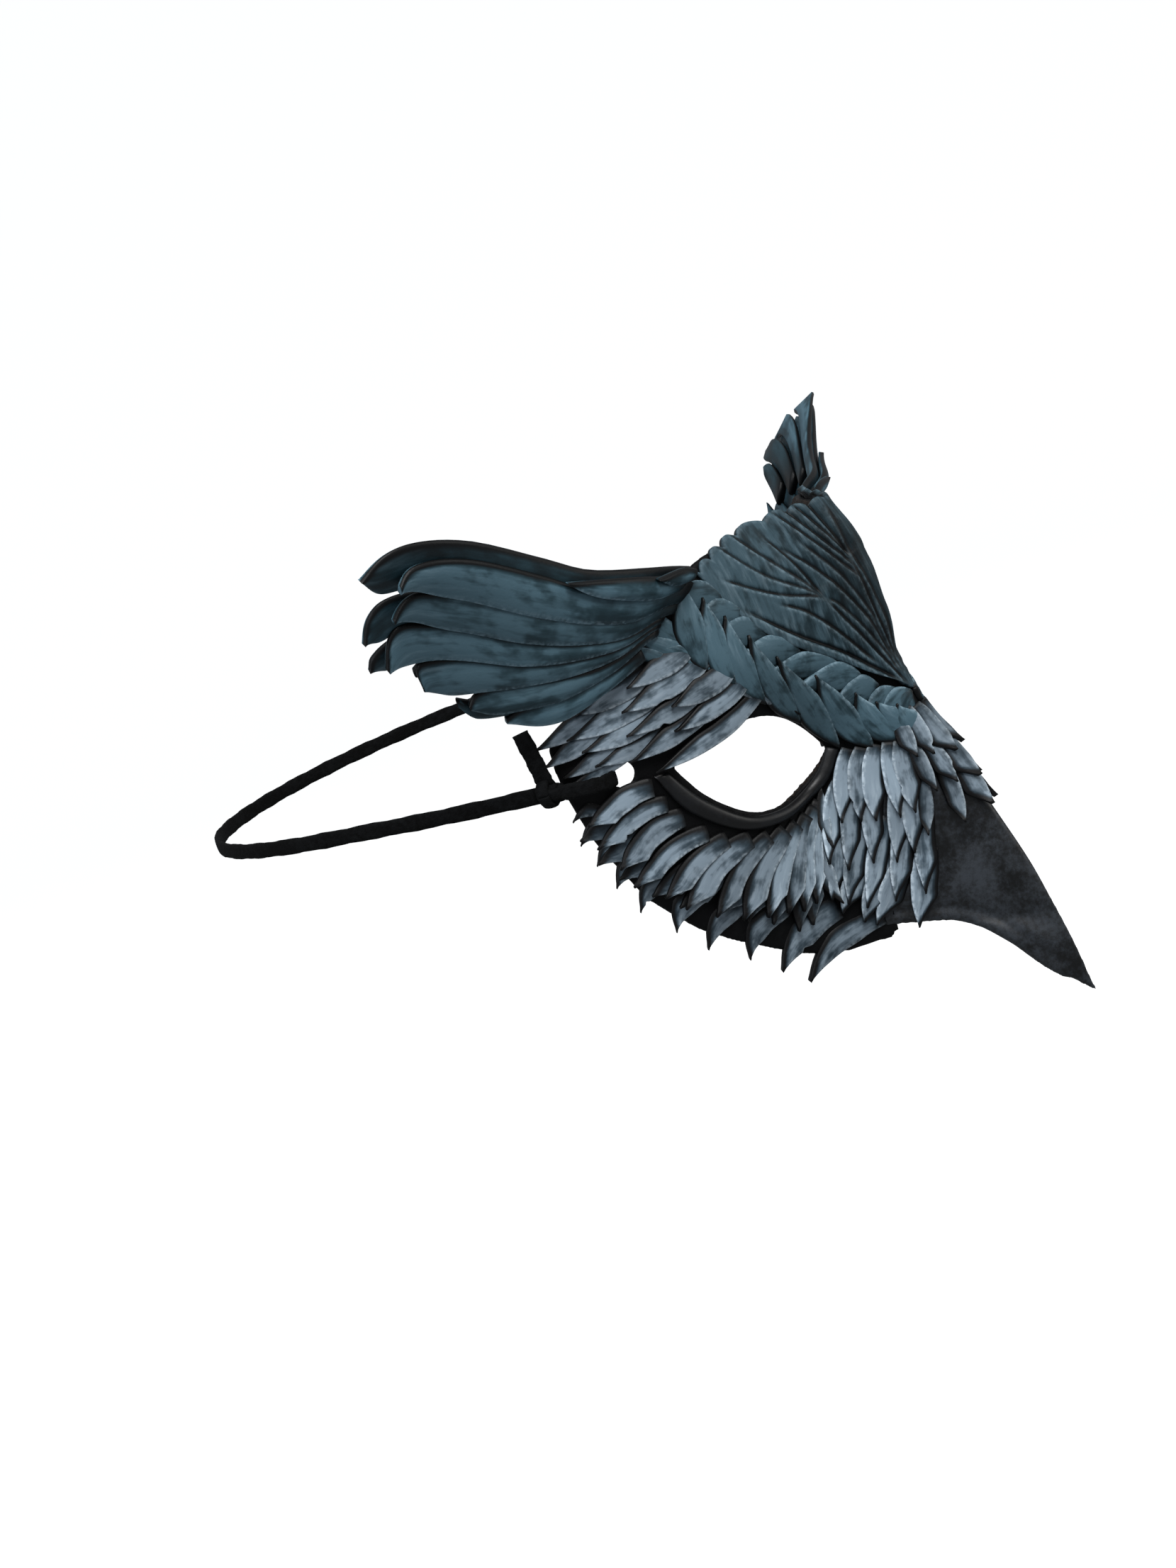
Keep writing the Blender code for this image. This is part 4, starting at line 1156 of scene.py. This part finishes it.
# beak
beakSetup = {
    "hook": ((-42, 137.4, 113, 10.5), (-46, 138.3, 120, 8), (-51, 139.3, 126, 6),
             (-56, 140.2, 130.5, 4), (-60, 140.8, 134.5, 2.6), (-63.5, 141.2, 138.6, 1.4),
             (-66, 142.0, 141.2, 0.5)),  # height, ridge and rear edge forward, half width
    "top": 7.4, "joint": -38,  # the hook starts at the joint
    "blend": 14,  # and takes its own shape over this height
    "wall": 2.2, "voxel": 0.6,
    "rise": 4.5,  # how far the lower rear edge is drawn up
    "flange": 0.5,  # how far its rear edge stands off the cheeks
    "groove": (3.6, 1.3, 0.55), "lip": (0.0, 1.7, 0.35),  # from the lower edge, width, depth
    "nostril": (1.72, -19.5), "nostrilSize": (2.6, 1.8),
}


def eased(t):
    return t * t * (3 - 2 * t)


def rearRise(height):  # in full between the cheeks' lower end and the hook
    return beakSetup["rise"] * eased(np.clip(min((-22 - height) / 14, (height + 60) / 16), 0, 1))


def beakHalf(height):  # half horseshoe of (width, forward), ridge first
    k = np.linspace(0, 1, 15)
    start = beakSetup["joint"]
    if height >= start:
        points = raisedPoints("face", np.stack([2.15 * k, 0 * k + height], -1),
                              beakSetup["flange"] * k ** 3)
        return np.stack([np.maximum(points[:, 0], 0), -points[:, 1]], -1)
    joint = beakHalf(start)
    seam = (joint - (0, joint[-1, 1])) / (joint[-1, 0], joint[0, 1] - joint[-1, 1])
    rows = [(start, joint[0, 1], joint[-1, 1], joint[-1, 0]), *beakSetup["hook"]]
    heights = [-row[0] for row in rows]
    ridge, back, width = (np.interp(-height, heights, [row[i] for row in rows])
                          for i in (1, 2, 3))
    hook = np.stack([np.sin(np.pi / 2 * k ** 1.15), 1 - k ** 1.6], -1)
    t = eased(min((start - height) / beakSetup["blend"], 1))
    return (seam * (1 - t) + hook * t) * (width, ridge - back) + (0, back)


def beakRing(height, wall):  # a horseshoe of leather, filled across towards the hooked end
    outer = beakHalf(height)
    run = np.gradient(np.concatenate([outer[1:2] * (-1, 1), outer]), axis=0)[1:]
    inner = outer + unit(np.stack([run[:, 1], -run[:, 0]], -1)) * wall
    inner[:, 0] = np.maximum(inner[:, 0], 0.1)
    inner[0, 0] = 0
    k = np.arange(len(outer)) / (len(outer) - 1)
    chord = np.stack([outer[-1, 0] * k * 0.97, outer[-1, 1] + 0 * k], -1)
    filled = np.clip((-37 - height) / 9, 0, 1)
    inner = inner * (1 - filled) + chord * filled
    level = height + rearRise(height) * k ** 2
    halves = []
    for half in (outer, inner):
        half = np.stack([half[:, 0], -half[:, 1], level], -1)
        halves.append(np.concatenate([half[:0:-1] * (-1, 1, 1), half]))
    return np.concatenate([halves[0], halves[1][::-1]])


def makeBeak(setup):
    wall = setup["wall"]
    heights = [*np.linspace(setup["top"], setup["joint"], 36),
               *np.linspace(setup["joint"] - 1, setup["hook"][-1][0], 28)]
    beak = plainObject("beak_horn", np.array([beakRing(h, wall) for h in heights]), 1,
                       dyedLeather)
    voxels(beak, setup["voxel"])
    mesh, where, facing = settledMesh(beak, 6, polishedLeather)
    where = where / mm
    # a rolled lip and a groove along the lower edge, and a shallow nostril, pressed into the hide
    folded = np.abs(where[:, :1] * (1, 0, 0)) + where * (0, 1, 1)
    lastOuter = 28  # the ring's point on the lower rear edge
    edge = np.array([beakRing(h, wall)[lastOuter] for h in np.linspace(-31, -60, 60)])
    off = np.sqrt(((folded[:, None] - edge) ** 2).sum(-1).min(1))
    outside = np.clip(where[:, 0] * facing[:, 0] * 2, 0, 1)
    press = 0
    for sign, key in ((-1, "groove"), (1, "lip")):
        middle, width, depth = setup[key]
        press = press + sign * depth * np.exp(-((off - middle) / width) ** 2)
    hollow = np.linalg.norm(folded - faceSurface(np.array([setup["nostril"]])), axis=1)
    wide, deep = setup["nostrilSize"]
    press = press - deep * np.exp(-(hollow / wide) ** 2)
    moved = where + facing * (press * outside)[:, None]
    mesh.vertices.foreach_set("co", (moved * mm).astype(np.float32).ravel())
    mesh.update()
    place(beak, "mask", "beak", "polished_leather")
    print("beak faces", len(mesh.polygons))


makeBeak(beakSetup)
for side in (-1, 1):
    makeFringe(fringe, side)
    makeCheek(cheek, side)
    makeNoseSide(noseSide, side)
    makeTemple(temple, side)
    makeBrow(brow, side)
    makeWing(wings, side)
    makeEyeRim(eyeRim, side)
makeFan(fan)
makeBridge(bridge)
print("feathers laid")


# studio
studio = {
    "floor": -0.32,  # m below the wearer's ear line
    "flat": 2.0, "cove": 1.5, "wall": 5.0,  # m: radius of the floor, of its bend, and its height
    "world": 0.36,
    "aim": (0, -0.08, 0.03),
    "lamps": (  # place m, size m, watts, colour
        ((-0.7, -0.9, 1.5), 0.9, 32, "#FFFFFF"),
        ((-1.5, 0.6, 0.9), 0.8, 12, "#F4F8FF"),
        ((0.6, -1.4, 0.5), 0.6, 4, "#FFFDF8"),
    ),
}


def makeStudio(setup):
    bend, cove = np.linspace(0, 1.5, 24), setup["cove"]
    edge = setup["flat"] + cove
    radius = np.concatenate([[0.01, 0.5, 1.0, 1.6], setup["flat"] + cove * np.sin(bend),
                             [edge, edge]])
    rise = np.concatenate([[0, 0, 0, 0], cove - cove * np.cos(bend), [2.2, setup["wall"]]])
    turn = np.linspace(0, 2 * math.pi, 97)[:-1]
    points = np.stack([radius[:, None] * np.cos(turn), radius[:, None] * np.sin(turn),
                       rise[:, None] + 0 * turn + setup["floor"]], -1)
    n, m = points.shape[:2]
    mesh = bpy.data.meshes.new("floor")  # a seamless cove all round
    mesh.from_pydata(points.reshape(-1, 3).tolist(), [],
                     [(i * m + j, i * m + (j + 1) % m, (i + 1) * m + (j + 1) % m,
                       (i + 1) * m + j) for i in range(n - 1) for j in range(m)])
    mesh.shade_smooth()
    floor = bpy.data.objects.new("floor", mesh)
    bpy.context.scene.collection.objects.link(floor)
    material, tree = blank("whitePaintedFloor")  # matt and lit from behind, so it shows white
    shader = node(tree, "ShaderNodeBsdfPrincipled", {
        "Base Color": (0.5, 0.5, 0.5, 1), "Roughness": 0.9, "Specular IOR Level": 0.1,
        "Emission Color": linear("#FBFCFC"), "Emission Strength": 0.78})
    node(tree, "ShaderNodeOutputMaterial", {"Surface": shader})
    mesh.materials.append(material)
    floor.visible_diffuse = floor.visible_glossy = False  # keeps the blacks black
    world = bpy.data.worlds.new("white studio")
    world.use_nodes = True
    tree = world.node_tree
    tree.nodes.clear()
    seen = node(tree, "ShaderNodeBackground", {"Color": (1, 1, 1, 1), "Strength": 1.15})
    lit = node(tree, "ShaderNodeBackground", {"Color": linear("#F2F6FA"),
                                              "Strength": setup["world"]})
    rays = node(tree, "ShaderNodeLightPath", {}).outputs["Is Camera Ray"]
    both = node(tree, "ShaderNodeMixShader", {0: rays, 1: lit, 2: seen})
    node(tree, "ShaderNodeOutputWorld", {"Surface": both})
    bpy.context.scene.world = world
    for where, size, watts, colour in setup["lamps"]:
        data = bpy.data.lights.new("softbox", "AREA")
        data.size = size
        data.energy = watts
        data.color = linear(colour)[:3]
        lamp = bpy.data.objects.new("softbox", data)
        lamp.location = where
        aim = Vector(setup["aim"]) - Vector(where)
        lamp.rotation_euler = aim.to_track_quat("-Z", "Y").to_euler()
        bpy.context.scene.collection.objects.link(lamp)
    bpy.context.scene.view_settings.view_transform = "Standard"


makeStudio(studio)
print("studio lit")
